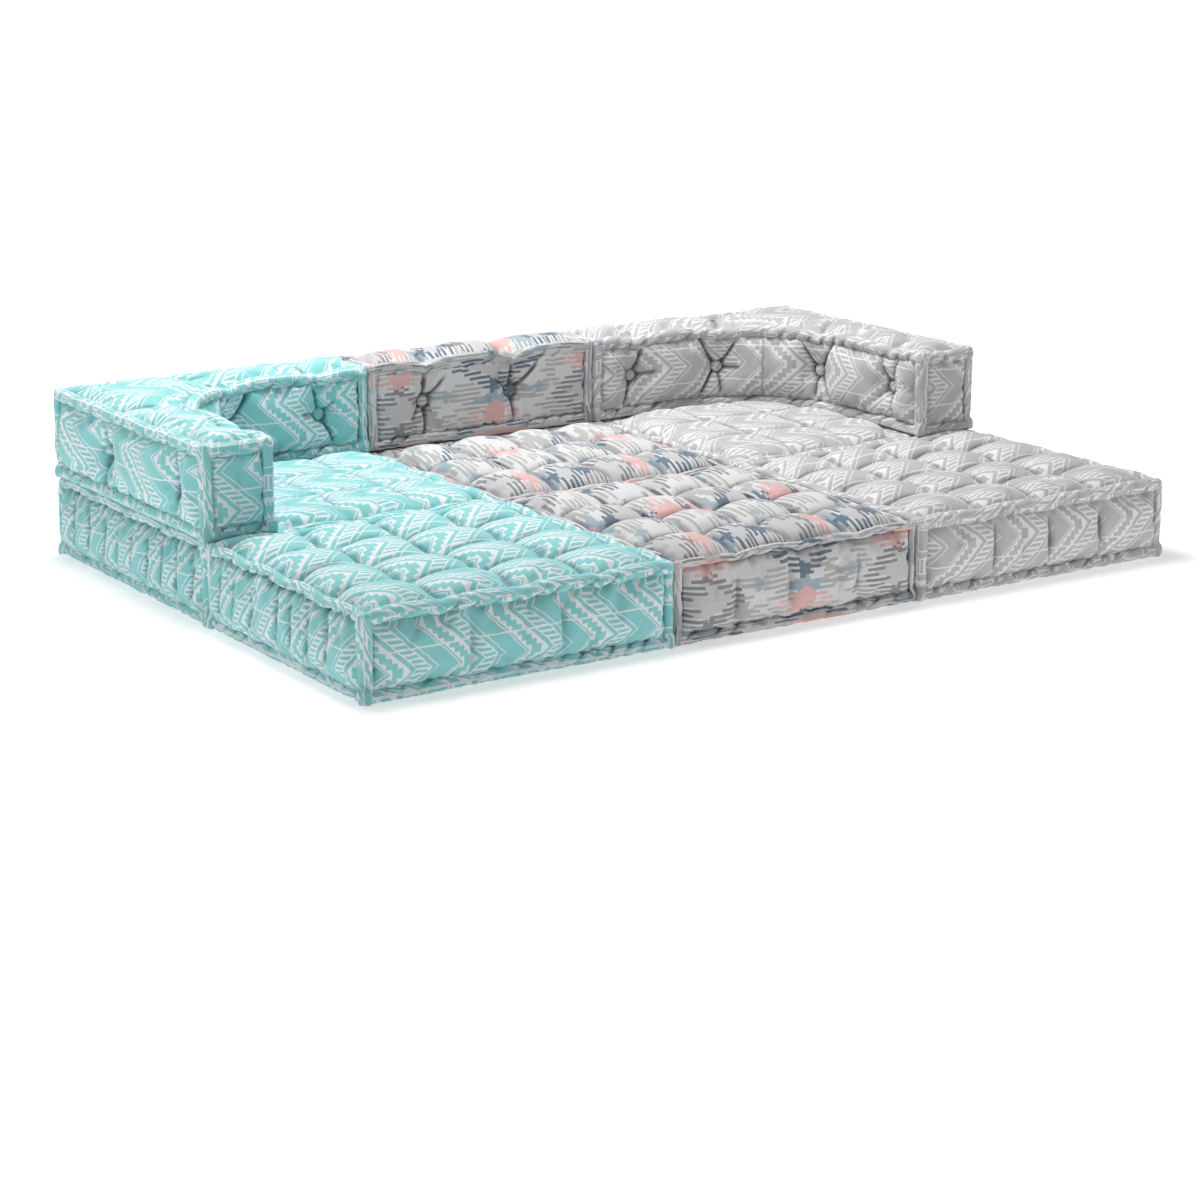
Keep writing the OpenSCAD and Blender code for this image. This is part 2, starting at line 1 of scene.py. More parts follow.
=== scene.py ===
"""Dresses a modular low floor sofa: nine tufted cushions in three printed cottons.

Six seat cushions lie in three columns and two rows. Two rounded corner backs and
one straight back stand on the rear row. Each cushion gets a padded jacket, rolled
and stitched edges, an underside panel and, on the backs, covered buttons.
Lengths are in metres, except in the printed patterns, which are in millimetres.
"""

from __future__ import annotations

import logging
import math
from dataclasses import dataclass, field
from enum import Enum
from typing import Callable, Sequence

import bpy
import numpy as np
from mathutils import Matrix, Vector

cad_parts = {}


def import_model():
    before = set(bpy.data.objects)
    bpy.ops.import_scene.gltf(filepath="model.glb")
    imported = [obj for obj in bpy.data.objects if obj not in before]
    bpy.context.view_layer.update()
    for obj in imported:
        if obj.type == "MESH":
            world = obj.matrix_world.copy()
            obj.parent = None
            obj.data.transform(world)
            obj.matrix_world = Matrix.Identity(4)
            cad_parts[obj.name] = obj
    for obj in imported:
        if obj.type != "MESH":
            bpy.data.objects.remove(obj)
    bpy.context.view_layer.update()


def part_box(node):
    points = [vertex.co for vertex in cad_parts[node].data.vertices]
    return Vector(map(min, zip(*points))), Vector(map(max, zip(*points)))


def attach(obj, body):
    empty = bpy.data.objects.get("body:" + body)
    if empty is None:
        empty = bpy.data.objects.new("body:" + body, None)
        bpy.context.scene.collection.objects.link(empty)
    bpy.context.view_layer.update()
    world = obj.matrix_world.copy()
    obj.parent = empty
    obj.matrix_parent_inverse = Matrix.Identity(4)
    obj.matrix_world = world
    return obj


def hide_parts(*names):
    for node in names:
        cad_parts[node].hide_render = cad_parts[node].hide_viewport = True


LOG = logging.getLogger("sofa")

Array = np.ndarray
Socket = bpy.types.NodeSocket
Material = bpy.types.Material
Piece = bpy.types.Object
Colour = tuple[float, float, float]
Span = tuple[float, float]
# Measures how far places in plan lie in front of a back.
Front = Callable[[Array, Array], Array]
# Many places along a line, or one.
Places = Array | float
# Kind and value of each line along a top.
Lines = list[tuple[str, float]]
# Angle in degrees, length and depth of a crease that runs from a tuft.
Crease = tuple[float, float, float]

# Millimetres in a metre, for the printed patterns.
TO_MM = 1000.0
# Distance between two threads of the cottons, in millimetres.
THREAD = 1.4
# How far up the sides the grey print is moved. The tops leave it out again.
GREY_LIFT = 0.061
# Usual numbers for stirring whole numbers and places into values that look random.
STIR = (12.9898, 78.233, 43758.5453)
CELL_KEYS = (57.0, 131.0)
# The four borders of a grid of points.
BORDERS = ((0, slice(None)), (-1, slice(None)), (slice(None), 0), (slice(None), -1))


def hashed(keys: Array, seed: float) -> Array:
    """Spread numbers over 0 to 1 in a way that looks random and never changes.

    Args:
        keys: Whole numbers, such as the places of pleats.
        seed: What tells one spread from another.

    Returns:
        One value from 0 to 1 for each key.
    """
    by_key, by_seed, spread = STIR
    return np.mod(np.sin(np.asarray(keys, float) * by_key + seed * by_seed) * spread, 1.0)


def paired(a: Places, b: Places) -> Array:
    """Join first and second coordinates into points."""
    return np.stack(np.broadcast_arrays(a, b), axis=-1)


def travelled(path: Array) -> Array:
    """Measure the way along a plan path to each of its points."""
    return np.concatenate([[0.0], np.cumsum(np.hypot(*np.diff(path, axis=0).T))])


def eased(t: Array) -> Array:
    """Ease a share that runs evenly from 0 to 1."""
    return t * t * (3.0 - 2.0 * t)


def from_end(place: Array, length: float) -> Array:
    """Give the distance from the nearer end of a length."""
    return np.minimum(place, length - place)


def ramp(value: Array, low: float, high: float) -> Array:
    """Rise smoothly from 0 at low to 1 at high."""
    return eased(np.clip((value - low) / (high - low), 0.0, 1.0))


def ripple(place: Array, pitch: float, seed: float) -> Array:
    """Wander smoothly between -1 and 1 along a line.

    Args:
        place: Distance along the line.
        pitch: Distance between two turns of the wander.
        seed: What tells one wander from another.

    Returns:
        The wander at each place.
    """
    cell = np.floor(place / pitch)
    t = eased(place / pitch - cell)
    return (hashed(cell, seed) * (1 - t) + hashed(cell + 1, seed) * t) * 2.0 - 1.0


def mottle(a: Array, b: Array, pitch: float, seed: float) -> Array:
    """Wander smoothly between -1 and 1 over a surface.

    Args:
        a: First coordinate.
        b: Second coordinate.
        pitch: Size of a bump.
        seed: What tells one wander from another.

    Returns:
        The wander at each place.
    """
    ca, cb = np.floor(a / pitch), np.floor(b / pitch)
    ta, tb = eased(a / pitch - ca), eased(b / pitch - cb)
    by_a, by_b = CELL_KEYS
    corner = [hashed((ca + i) * by_a + (cb + j) * by_b, seed) for i in (0, 1) for j in (0, 1)]
    near = corner[0] * (1 - tb) + corner[1] * tb
    far = corner[2] * (1 - tb) + corner[3] * tb
    return (near * (1 - ta) + far * ta) * 2.0 - 1.0


class Signal:
    """A number that varies over the cloth: the output of shader nodes."""

    def __init__(self, loom: Loom, socket: Socket) -> None:
        """Keep the loom that owns the nodes and the socket that gives the number."""
        self.loom = loom
        self.socket = socket

    def __add__(self, other: Signal | float) -> Signal:
        """Sum of two numbers."""
        return self.loom.math("ADD", self, other)

    def __sub__(self, other: Signal | float) -> Signal:
        """Difference of two numbers."""
        return self.loom.math("SUBTRACT", self, other)

    def __mul__(self, other: Signal | float) -> Signal:
        """Product of two numbers."""
        return self.loom.math("MULTIPLY", self, other)

    def __abs__(self) -> Signal:
        """Size of the number."""
        return self.loom.math("ABSOLUTE", self)

    def below(self, limit: Signal | float) -> Signal:
        """1 where the number is below the limit, else 0."""
        return self.loom.math("LESS_THAN", self, limit)

    def above(self, limit: Signal | float) -> Signal:
        """1 where the number is above the limit, else 0."""
        return self.loom.math("GREATER_THAN", self, limit)

    def either(self, other: Signal | float) -> Signal:
        """The larger of two numbers."""
        return self.loom.math("MAXIMUM", self, other)

    def floor(self) -> Signal:
        """The whole part of the number."""
        return self.loom.math("FLOOR", self)

    def over(self, period: float) -> Signal:
        """What is left of the number past the last whole period."""
        return self.loom.math("FLOORED_MODULO", self, period)

    def zigzag(self, half: float) -> Signal:
        """Rise from 0 to half and fall back, again and again."""
        return self.loom.math("PINGPONG", self, half)

    def around(self, centre: float, period: float) -> Signal:
        """Distance, with its sign, from the nearest repeat of a centre."""
        return (self - (centre - period / 2)).over(period) - period / 2

    def inside(self, low: float, high: float) -> Signal:
        """1 where the number lies between two limits, else 0."""
        return abs(self - (low + high) / 2).below((high - low) / 2)


def linear(red: int, green: int, blue: int) -> Colour:
    """Turn a colour as a screen shows it, 0 to 255, into the renderer's own.

    Args:
        red: Amount of red.
        green: Amount of green.
        blue: Amount of blue.

    Returns:
        The three amounts, 0 to 1.
    """
    return tuple(
        c / 12.92 if c <= 0.04045 else ((c + 0.055) / 1.055) ** 2.4
        for c in (red / 255, green / 255, blue / 255)
    )


class Loom:
    """Writes the shader nodes of one material."""

    def __init__(self, name: str) -> None:
        """Start a material with one principled surface.

        Args:
            name: Name of the material.
        """
        self.material = bpy.data.materials.new(name)
        self.material.use_nodes = True
        self.nodes = self.material.node_tree.nodes
        self.nodes.clear()
        output = self.nodes.new("ShaderNodeOutputMaterial")
        self.surface = self.nodes.new("ShaderNodeBsdfPrincipled")
        self.join(self.surface.outputs[0], output.inputs[0])

    def join(self, value: Signal | Socket | float, socket: Socket) -> None:
        """Feed a socket with a signal, another socket or a plain number.

        Args:
            value: What feeds the socket.
            socket: The socket.
        """
        if isinstance(value, Signal):
            value = value.socket
        if isinstance(value, Socket):
            self.material.node_tree.links.new(value, socket)
        else:
            socket.default_value = value

    def math(self, operation: str, *values: Signal | float) -> Signal:
        """Add one math node.

        Args:
            operation: Blender's name of the operation.
            values: The numbers that it works on.

        Returns:
            The node's result.
        """
        node = self.nodes.new("ShaderNodeMath")
        node.operation = operation
        for value, socket in zip(values, node.inputs):
            self.join(value, socket)
        return Signal(self, node.outputs[0])

    def cloth(self) -> tuple[Signal, Signal]:
        """Give the place on the cloth, across and along it, in millimetres.

        Returns:
            The two places.
        """
        place = self.nodes.new("ShaderNodeUVMap")
        place.uv_map = "cloth"
        split = self.nodes.new("ShaderNodeSeparateXYZ")
        self.join(place.outputs[0], split.inputs[0])
        return tuple(Signal(self, split.outputs[axis]) * TO_MM for axis in (0, 1))

    def texture(self, kind: str, a: Signal | float, b: Signal | float) -> bpy.types.Node:
        """Add a flat texture that is read at two numbers.

        Args:
            kind: Blender's name of the texture.
            a: First number.
            b: Second number.

        Returns:
            The texture's node.
        """
        place = self.nodes.new("ShaderNodeCombineXYZ")
        self.join(a, place.inputs[0])
        self.join(b, place.inputs[1])
        node = self.nodes.new(kind)
        node.noise_dimensions = "2D"
        self.join(place.outputs[0], node.inputs["Vector"])
        return node

    def noise(self, a: Signal | float, b: Signal | float, size: float, detail: float) -> Signal:
        """Give smooth noise from 0 to 1.

        Args:
            a: First place.
            b: Second place.
            size: Size of a bump, in the units of the places.
            detail: How many finer layers the noise has.

        Returns:
            The noise.
        """
        node = self.texture("ShaderNodeTexNoise", a, b)
        node.inputs["Scale"].default_value = 1.0 / size
        node.inputs["Detail"].default_value = detail
        return Signal(self, node.outputs[0])

    def chance(self, a: Signal | float, b: Signal | float) -> Signal:
        """Give one random number from 0 to 1 for each pair of whole numbers."""
        return Signal(self, self.texture("ShaderNodeTexWhiteNoise", a, b).outputs[0])

    def blend(self, share: Signal | float, under: Colour | Socket, over: Colour | Socket,
              mode: str = "MIX") -> Socket:
        """Lay one colour over another.

        Args:
            share: How much of the upper colour shows, 0 to 1.
            under: The lower colour.
            over: The upper colour.
            mode: Blender's name of the way they mix.

        Returns:
            The mixed colour.
        """
        node = self.nodes.new("ShaderNodeMix")
        node.data_type = "RGBA"
        node.blend_type = mode
        self.join(share, node.inputs[0])
        for colour, socket in ((under, node.inputs[6]), (over, node.inputs[7])):
            self.join((*colour, 1.0) if isinstance(colour, tuple) else colour, socket)
        return node.outputs[2]

    def with_crease_shade(self, colour: Socket, shade: Colour) -> Socket:
        """Darken the cloth's colour as painted shade where it is folded in and on its underside.

        Args:
            colour: The cloth's colour.
            shade: What it is multiplied with in the painted shade.

        Returns:
            The darkened colour.
        """
        painted_shade = self.nodes.new("ShaderNodeAttribute")
        painted_shade.attribute_name = "painted_shade"
        return self.blend(Signal(self, painted_shade.outputs["Fac"]) * 0.95, colour, shade, "MULTIPLY")

    def finish(self, colour: Socket, roughness: float, sheen: float, height: Signal,
               depth: float) -> Material:
        """Set the surface and its fine relief.

        Args:
            colour: Colour of the surface.
            roughness: Roughness, 0 to 1.
            sheen: Weight of the soft sheen of fibres.
            height: Relief, 0 to 1.
            depth: Height of the relief in metres.

        Returns:
            The finished material.
        """
        inputs = self.surface.inputs
        self.join(colour, inputs["Base Color"])
        inputs["Roughness"].default_value = roughness
        inputs["Sheen Weight"].default_value = sheen
        inputs["Sheen Roughness"].default_value = 0.5
        inputs["Specular IOR Level"].default_value = 0.25
        bump = self.nodes.new("ShaderNodeBump")
        bump.inputs["Strength"].default_value = 1.0
        bump.inputs["Distance"].default_value = depth
        self.join(height, bump.inputs["Height"])
        self.join(bump.outputs[0], inputs["Normal"])
        return self.material

    def cotton(self, colour: Socket, shade: Colour, sheen: float,
               place: tuple[Signal, Signal]) -> Material:
        """Finish a printed cotton of a plain weave, with painted shade in its creases.

        Args:
            colour: Colour of the print.
            shade: What the colour is multiplied with in the painted shade of a crease.
            sheen: Weight of the soft sheen of fibres.
            place: The place on the cloth, in millimetres.

        Returns:
            The finished material.
        """
        return self.finish(self.with_crease_shade(colour, shade), 0.92, sheen, self.weave(*place, THREAD), 0.0004)

    def weave(self, u: Signal, v: Signal, pitch: float) -> Signal:
        """Give the relief of a plain weave with one thread pitch, with slubs.

        Args:
            u: Place across the cloth.
            v: Place along the cloth.
            pitch: Distance between two threads.

        Returns:
            The relief.
        """
        turn = 2 * math.pi / pitch
        warp = self.math("SINE", u * turn)
        weft = self.math("SINE", v * turn)
        slub = self.noise(u * 0.25, v, pitch * 1.5, 1.0)
        return warp * weft * 0.25 + slub * 0.7


@dataclass(frozen=True)
class ChevronCloth:
    """Printed cotton with upright zigzag bands whose right-hand points follow one another.

    A repeat is drawn on a grid of columns and rows of woven pixels. Stripes, the ladder of
    rungs and the steps are given by their places across it, in millimetres, and the level
    line by half its width.
    """

    name: str
    ground: Colour
    print_colour: Colour
    tint: Colour
    # What the print is multiplied with in its painted crease shade.
    shade: Colour
    shift: float = 0.0
    lift: float = 0.0
    slope: float = 1.12
    repeat: float = 185.0
    columns: int = 28
    rows: int = 16
    stripes: tuple[Span, ...] = (
        (0.0, 3.6), (9.0, 13.5), (57.0, 61.5), (76.0, 80.5), (112.0, 116.5), (130.5, 134.0))
    ladder: Span = (79.0, 113.5)
    rung_pitch: float = 12.3
    rung: float = 5.2
    level: float = 1.7
    steps: Span = (12.0, 58.5)

    def material(self) -> Material:
        """Print the bands and give the material.

        Returns:
            The material.
        """
        loom = Loom(self.name)
        u, v = loom.cloth()
        wobble = (loom.noise(u, v, 24.0, 1.0) - 0.5) * 3.0
        pixel = self.repeat / self.columns
        tall_pixel = pixel / self.slope
        half = self.rows * tall_pixel
        high = v + wobble + (5 * tall_pixel - self.lift)
        wide = u + wobble + self.shift
        rise = high.zigzag(half)
        across = (wide - rise * self.slope).over(self.repeat)
        lines = across.inside(*self.stripes[0])
        for stripe in self.stripes[1:]:
            lines = lines.either(across.inside(*stripe))
        rungs = v.over(self.rung_pitch).below(self.rung) * across.inside(*self.ladder)
        level = abs(rise - half / 2).below(self.level)
        pair = (high * (0.5 / tall_pixel)).floor() + 0.5
        column = ((wide * (0.5 / pixel)).floor() - pair.zigzag(self.rows / 2)).over(self.columns / 2)
        stair = abs(column - 2.0).below(0.9)
        band = across.inside(*self.steps) * stair.below(0.5)
        printed = lines.either(rungs).either(level).either(band)
        wash = loom.noise(u, v, 45.0, 3.0)
        ground = loom.blend(wash * 0.55, self.ground, self.tint)
        worn = loom.noise(u, v, 3.0, 2.0)
        colour = loom.blend(printed * (worn * 0.3 + 0.78), ground, self.print_colour)
        return loom.cotton(colour, self.shade, 0.3, (u, v))


@dataclass(frozen=True)
class Motif:
    """One diamond of the ikat print, edged with staggered dashes.

    Core is the share of it that is filled, edge the length of its dashes in millimetres,
    and inner the colour between them.
    """

    column: int
    middle: float
    half_width: float
    half_height: float
    colour: Colour
    core: float = 0.0
    edge: float = 48.0
    inner: Colour | None = None


@dataclass(frozen=True)
class IkatCloth:
    """Printed cotton with columns of dashed diamonds in slate, coral and grey.

    In millimetres are the first column's place and the columns' pitch, the repeat along
    them, the height of a row, the length of a faint dash, the pitch of the hairs and the
    small diamonds between the columns. Inked is the share of a row that is dashes.
    """

    name: str
    ground: Colour = linear(209, 208, 208)
    slate: Colour = linear(88, 110, 128)
    mist: Colour = linear(150, 166, 176)
    coral: Colour = linear(218, 172, 169)
    stone: Colour = linear(130, 128, 132)
    haze: Colour = linear(190, 188, 190)
    pale: Colour = linear(168, 168, 166)
    # What the print is multiplied with in its painted crease shade.
    shade: Colour = (0.16, 0.15, 0.17)
    first: float = 89.0
    pitch: float = 294.0
    repeat: float = 330.0
    row: float = 330.0 / 26
    inked: float = 0.56
    faint: float = 96.0
    hair: float = 3.6
    small_width: float = 54.0
    small_height: float = 17.0

    def motifs(self) -> tuple[Motif, ...]:
        """List the diamonds of the even and odd columns.

        Returns:
            The diamonds, from the lowest layer up.
        """
        return (
            Motif(0, 62.0, 150.0, 70.0, self.pale, edge=80.0),
            Motif(0, 245.0, 140.0, 60.0, self.pale, edge=70.0),
            Motif(1, 110.0, 150.0, 60.0, self.pale, edge=70.0),
            Motif(1, 275.0, 150.0, 60.0, self.pale, edge=80.0),
            Motif(0, 95.0, 124.0, 78.0, self.stone, edge=56.0, inner=self.haze),
            Motif(0, 238.0, 84.0, 40.0, self.mist, core=0.62),
            Motif(0, 176.0, 82.0, 30.0, self.coral, core=0.48),
            Motif(0, 8.0, 62.0, 18.0, self.slate, core=0.45),
            Motif(0, 292.0, 104.0, 44.0, self.slate, edge=50.0, inner=self.haze),
            Motif(1, 198.0, 150.0, 84.0, self.slate, edge=60.0, inner=self.haze),
            Motif(1, 96.0, 88.0, 22.0, self.mist, core=0.70),
            Motif(1, 60.0, 104.0, 38.0, self.coral, core=0.45),
            Motif(1, 22.0, 84.0, 16.0, self.slate, core=0.25),
            Motif(1, 300.0, 96.0, 40.0, self.coral, core=0.50),
        )

    def material(self) -> Material:
        """Print the dashes and give the material.

        Returns:
            The material.
        """
        loom = Loom(self.name)
        u, v = loom.cloth()
        v = v + (loom.noise(u, v, 60.0, 1.0) - 0.5) * 4.0
        beside = u.around(self.first, self.pitch)
        reach = abs(beside)
        column = ((u - (self.first - self.pitch / 2)) * (1.0 / self.pitch)).floor().over(2.0)
        side = beside.above(0.0)
        band = v * (1.0 / self.row) + side * 0.5
        dash = band.over(1.0).below(self.inked)
        level = (band.floor() + 0.5 - side * 0.5) * self.row
        row = band.floor() + column * 40.0
        luck, more = loom.chance(row, side), loom.chance(row, side + 5.0)
        colour = self._faint(loom, u, v)
        for motif in self.motifs():
            ours = column.inside(motif.column - 0.5, motif.column + 0.5)
            away = abs(level.around(motif.middle, self.repeat))
            taper = (away * (-1.0 / motif.half_height) + 1.0) * motif.half_width
            outer = taper * (luck * 0.22 + 0.88)
            inner = outer - (more * 0.6 + 0.75) * motif.edge
            if motif.inner is not None:
                colour = loom.blend(reach.below(inner + 14.0) * ours * 0.9, colour, motif.inner)
            dashed = reach.below(outer) * reach.above(inner) * dash * taper.above(0.0)
            if motif.core:
                dashed = dashed.either(reach.below(taper * motif.core * (more * 0.3 + 0.8)))
            elif motif.inner is not None:
                dashed = dashed.either(reach.below(15.0) * taper.inside(2.0, motif.edge))
            colour = loom.blend(dashed * ours * 0.92, colour, motif.colour)
        between = u.around(self.first + self.pitch / 2, self.pitch)
        hair = v * (1.0 / self.hair)
        fray = loom.chance(hair.floor(), between.above(0.0) + 4.0)
        for middle, tint in ((118.0, self.mist), (16.0, self.slate), (235.0, self.stone)):
            away = abs(v.around(middle, self.repeat))
            taper = (away * (-1.0 / self.small_height) + 1.0) * self.small_width
            feather = abs(between).below(taper * (fray * 0.9 + 0.2)) * hair.over(1.0).below(0.62)
            core = abs(between).below(taper * 0.3)
            colour = loom.blend(feather.either(core) * 0.8, colour, tint)
        worn = loom.noise(u, v, 2.5, 2.0)
        colour = loom.blend((worn - 0.5).either(0.0) * 0.5, colour, self.ground)
        return loom.cotton(colour, self.shade, 0.2, (u, v))

    def _faint(self, loom: Loom, u: Signal, v: Signal) -> Socket:
        """Print the pale dashes that fill the ground between the diamonds.

        Args:
            loom: Writes the nodes.
            u: Place across the cloth.
            v: Place along the cloth.

        Returns:
            The printed ground.
        """
        band = v * (1.0 / self.row)
        row = band.floor()
        place = u * (1.0 / self.faint) + loom.chance(row, 3.0) * 9.0
        strike = loom.chance(row, place.floor())
        dash = band.over(1.0).below(self.inked)
        mark = strike.above(0.30) * dash * place.over(1.0).below(strike * 0.9)
        return loom.blend(mark * 0.85, self.ground, self.pale)


@dataclass(frozen=True)
class PlainCloth:
    """Plain woven fabric, foam or twine, with a mottled colour and its own grain."""

    name: str
    colour: Colour
    shade: Colour
    grain: float
    relief: float
    roughness: float = 0.95

    def material(self) -> Material:
        """Mix the colour by place in the object and give the material.

        Returns:
            The material.
        """
        loom = Loom(self.name)
        place = loom.nodes.new("ShaderNodeTexCoord")
        split = loom.nodes.new("ShaderNodeSeparateXYZ")
        loom.join(place.outputs["Object"], split.inputs[0])
        x, y, z = (Signal(loom, split.outputs[axis]) * TO_MM for axis in range(3))
        a, b = x + z * 0.7, y - z * 0.7
        speck = loom.noise(a, b, self.grain, 3.0)
        colour = loom.blend(speck, self.colour, self.shade)
        return loom.finish(colour, self.roughness, 0.05, speck, self.relief)


class Colourway(Enum):
    """The three printed cottons of the nine cushions."""

    TEAL = "teal_chevron"
    IKAT = "ikat_print"
    GREY = "grey_chevron"


@dataclass
class Wardrobe:
    """All finishes of the sofa, made once."""

    prints: dict[Colourway, Material] = field(default_factory=dict)

    def __post_init__(self) -> None:
        """Weave every cloth."""
        # The last colour of each chevron is what it is multiplied with in its painted crease shade.
        teal = ChevronCloth("teal_chevron", linear(136, 203, 200), linear(229, 230, 233),
                            linear(140, 202, 214), (0.13, 0.27, 0.31), shift=52.0)
        grey = ChevronCloth("grey_chevron", linear(178, 178, 181), linear(228, 227, 226),
                            linear(194, 192, 195), (0.15, 0.15, 0.16), shift=96.0, lift=GREY_LIFT * TO_MM)
        self.prints[Colourway.TEAL] = teal.material()
        self.prints[Colourway.GREY] = grey.material()
        self.prints[Colourway.IKAT] = IkatCloth("ikat_print").material()
        self.foam, self.twine, self.lining = (
            PlainCloth(name, linear(*colour), linear(*shade), grain, relief).material()
            for name, colour, shade, grain, relief in (
                ("foam_core", (236, 224, 178), (222, 206, 154), 2.5, 0.0006),
                ("cotton_twine", (196, 180, 150), (150, 132, 102), 0.9, 0.0004),
                ("underside_lining", (222, 214, 196), (204, 194, 172), 1.2, 0.0002),
            )
        )


@dataclass
class BlockPlan:
    """Plan of a rectangular cushion, from its near left corner."""

    width: float
    depth: float

    @property
    def run(self) -> float:
        """Length of the near edge."""
        return self.width

    def stations(self, margin: Sequence[float], cell: float) -> Array:
        """Give the places of the cross-sections along the near edge.

        Args:
            margin: Distances of the first lines from an end.
            cell: Size of a mesh cell.

        Returns:
            The places, from end to end.
        """
        return spaced(self.width, margin, cell)

    def near(self, run: Places, inset: Places) -> Array:
        """Give points of the near edge, moved into the cushion by inset."""
        return paired(run, inset)

    def far(self, run: Places, inset: Places) -> Array:
        """Give points of the far edge, moved into the cushion by inset."""
        return paired(run, self.depth - inset)

    def locate(self, x: Array, y: Array) -> tuple[Array, Array, Array]:
        """Give the run and inset from the near edge of plan points, and the way out at each."""
        return x, y, paired(x * 0, x * 0 - 1)

    def thickness(self) -> float:
        """Distance between the near and the far edge."""
        return self.depth

    def corners(self) -> list[tuple[float, bool]]:
        """List the upright edges as place on the run and whether on the far edge."""
        return [(0.0, False), (self.width, False), (self.width, True), (0.0, True)]


@dataclass
class CornerPlan:
    """Plan of a corner back: an arm, a rounded inner corner and a back."""

    width: float
    depth: float
    thick: float
    radius: float

    def __post_init__(self) -> None:
        """Work out the runs of the arm, the arc and the back."""
        self.arm = self.depth - self.thick - self.radius
        self.back = self.width - self.thick - self.radius
        self.arc = self.radius * math.pi / 2
        self.centre = np.array([self.thick + self.radius, self.arm])

    @property
    def run(self) -> float:
        """Length of the inner edge."""
        return self.arm + self.arc + self.back

    def stations(self, margin: Sequence[float], cell: float) -> Array:
        """Give the places of the cross-sections, closer together on the arc.

        Args:
            margin: Distances of the first lines from an end.
            cell: Size of a mesh cell.

        Returns:
            The places, from the arm's end to the back's.
        """
        last = margin[-1]
        arm = np.linspace(last, self.arm, even((self.arm - last) / cell) + 1)
        arc = self.arm + np.linspace(0, self.arc, 2 * even(self.arc / cell / 1.6) + 1)
        back = np.linspace(self.run - self.back, self.run - last, even((self.back - last) / cell) + 1)
        head = np.array(margin[:-1])
        return np.concatenate([head, arm[:-1], arc[:-1], back, self.run - head[::-1]])

    def near(self, run: Places, inset: Places) -> Array:
        """Give points of the inner edge, moved into the cushion by inset.

        Args:
            run: Places on the run.
            inset: Distances from the edge.

        Returns:
            The points.
        """
        run, inset = np.broadcast_arrays(run, inset)
        turn = np.clip((run - self.arm) / self.radius, 0, math.pi / 2)
        reach = self.radius + inset
        x = self.centre[0] - reach * np.cos(turn) + np.maximum(run - self.arm - self.arc, 0)
        y = self.centre[1] + reach * np.sin(turn) + np.minimum(run - self.arm, 0)
        return paired(x, y)

    def far(self, run: Places, inset: Places) -> Array:
        """Give points of the outer edge opposite the same run, moved inwards by inset.

        Args:
            run: Places on the run.
            inset: Distances from the edge.

        Returns:
            The points.
        """
        run, inset = np.broadcast_arrays(run, inset)
        half = self.arm + self.arc / 2
        up = np.clip((run - self.arm) / (self.arc / 2), 0, 1)
        side = np.clip((run - half) / (self.arc / 2), 0, 1)
        y_arm = np.minimum(run, self.arm) + up * (self.depth - inset - self.arm)
        x_back = inset + side * (self.centre[0] - inset) + np.maximum(run - self.arm - self.arc, 0)
        x = np.where(run <= half, inset, x_back)
        y = np.where(run <= half, y_arm, self.depth - inset)
        return paired(x, y)

    def locate(self, x: Array, y: Array) -> tuple[Array, Array, Array]:
        """Give the run and inset from the inner edge of plan points, and the way out at each.

        Args:
            x: Places in plan.
            y: Places in plan.

        Returns:
            The run, the inset and the way out.
        """
        dx, dy = np.maximum(self.centre[0] - x, 0), np.maximum(y - self.centre[1], 0)
        reach = np.hypot(dx, dy) + 1e-9
        run = np.minimum(y, self.arm) + self.radius * np.arctan2(dy, dx + 1e-9)
        run = run + np.maximum(x - self.centre[0], 0)
        return run, reach - self.radius, paired(dx / reach, -dy / reach)

    def thickness(self) -> float:
        """Distance between the inner and the outer edge away from the corner."""
        return self.thick

    def corners(self) -> list[tuple[float, bool]]:
        """List the upright edges as place on the run and whether on the outer edge."""
        middle = self.arm + self.arc / 2
        return [(0.0, False), (self.run, False), (self.run, True), (middle, True), (0.0, True)]


def even(share: float) -> int:
    """Give the even whole number nearest to a share, and 2 at least."""
    return max(2, 2 * round(share / 2))


def spaced(length: float, margin: Sequence[float], cell: float) -> Array:
    """Give lines across a length: some near each end, equal cells between them.

    Args:
        length: The whole length.
        margin: Distances of the first lines from an end.
        cell: Wanted size of the equal cells.

    Returns:
        The places of the lines.
    """
    head = np.array(margin[:-1])
    count = even((length - 2 * margin[-1]) / cell)
    middle = np.linspace(margin[-1], length - margin[-1], count + 1)
    return np.concatenate([head, middle, length - head[::-1]])


@dataclass
class Patch:
    """A grid of cloth points and where each lies on the printed cloth."""

    points: Array
    cloth: Array
    hold: Array
    # How much painted shade each point gets, 0 to 1.
    painted_shade: Array
    flip: bool = False

    def coarse(self) -> Patch:
        """Give the same patch with every second line only."""
        half = (slice(None, None, 2), slice(None, None, 2))
        return Patch(self.points[half], self.cloth[half], self.hold[half], self.painted_shade[half], self.flip)

    def move(self, coarse_shift: Array) -> None:
        """Move the points by a shift that is known at every second line.

        Args:
            coarse_shift: The shift at every second line.
        """
        rows, columns = self.points.shape[:2]
        shift = np.zeros((rows, columns, 3))
        shift[::2, ::2] = coarse_shift
        shift[1::2, ::2] = (shift[:-1:2, ::2] + shift[2::2, ::2]) / 2
        shift[:, 1::2] = (shift[:, :-1:2] + shift[:, 2::2]) / 2
        self.points = self.points + shift

    def rings(self, start: int) -> list[list[int]]:
        """List the four corners of each cell, counted on from start.

        Args:
            start: Number of the patch's first point.

        Returns:
            Four numbers for each cell.
        """
        rows, columns = self.points.shape[:2]
        ids = start + np.arange(rows * columns).reshape(rows, columns)
        ring = np.stack([ids[:-1, :-1], ids[1:, :-1], ids[1:, 1:], ids[:-1, 1:]], axis=-1).reshape(-1, 4)
        return (ring[:, ::-1] if self.flip else ring).tolist()


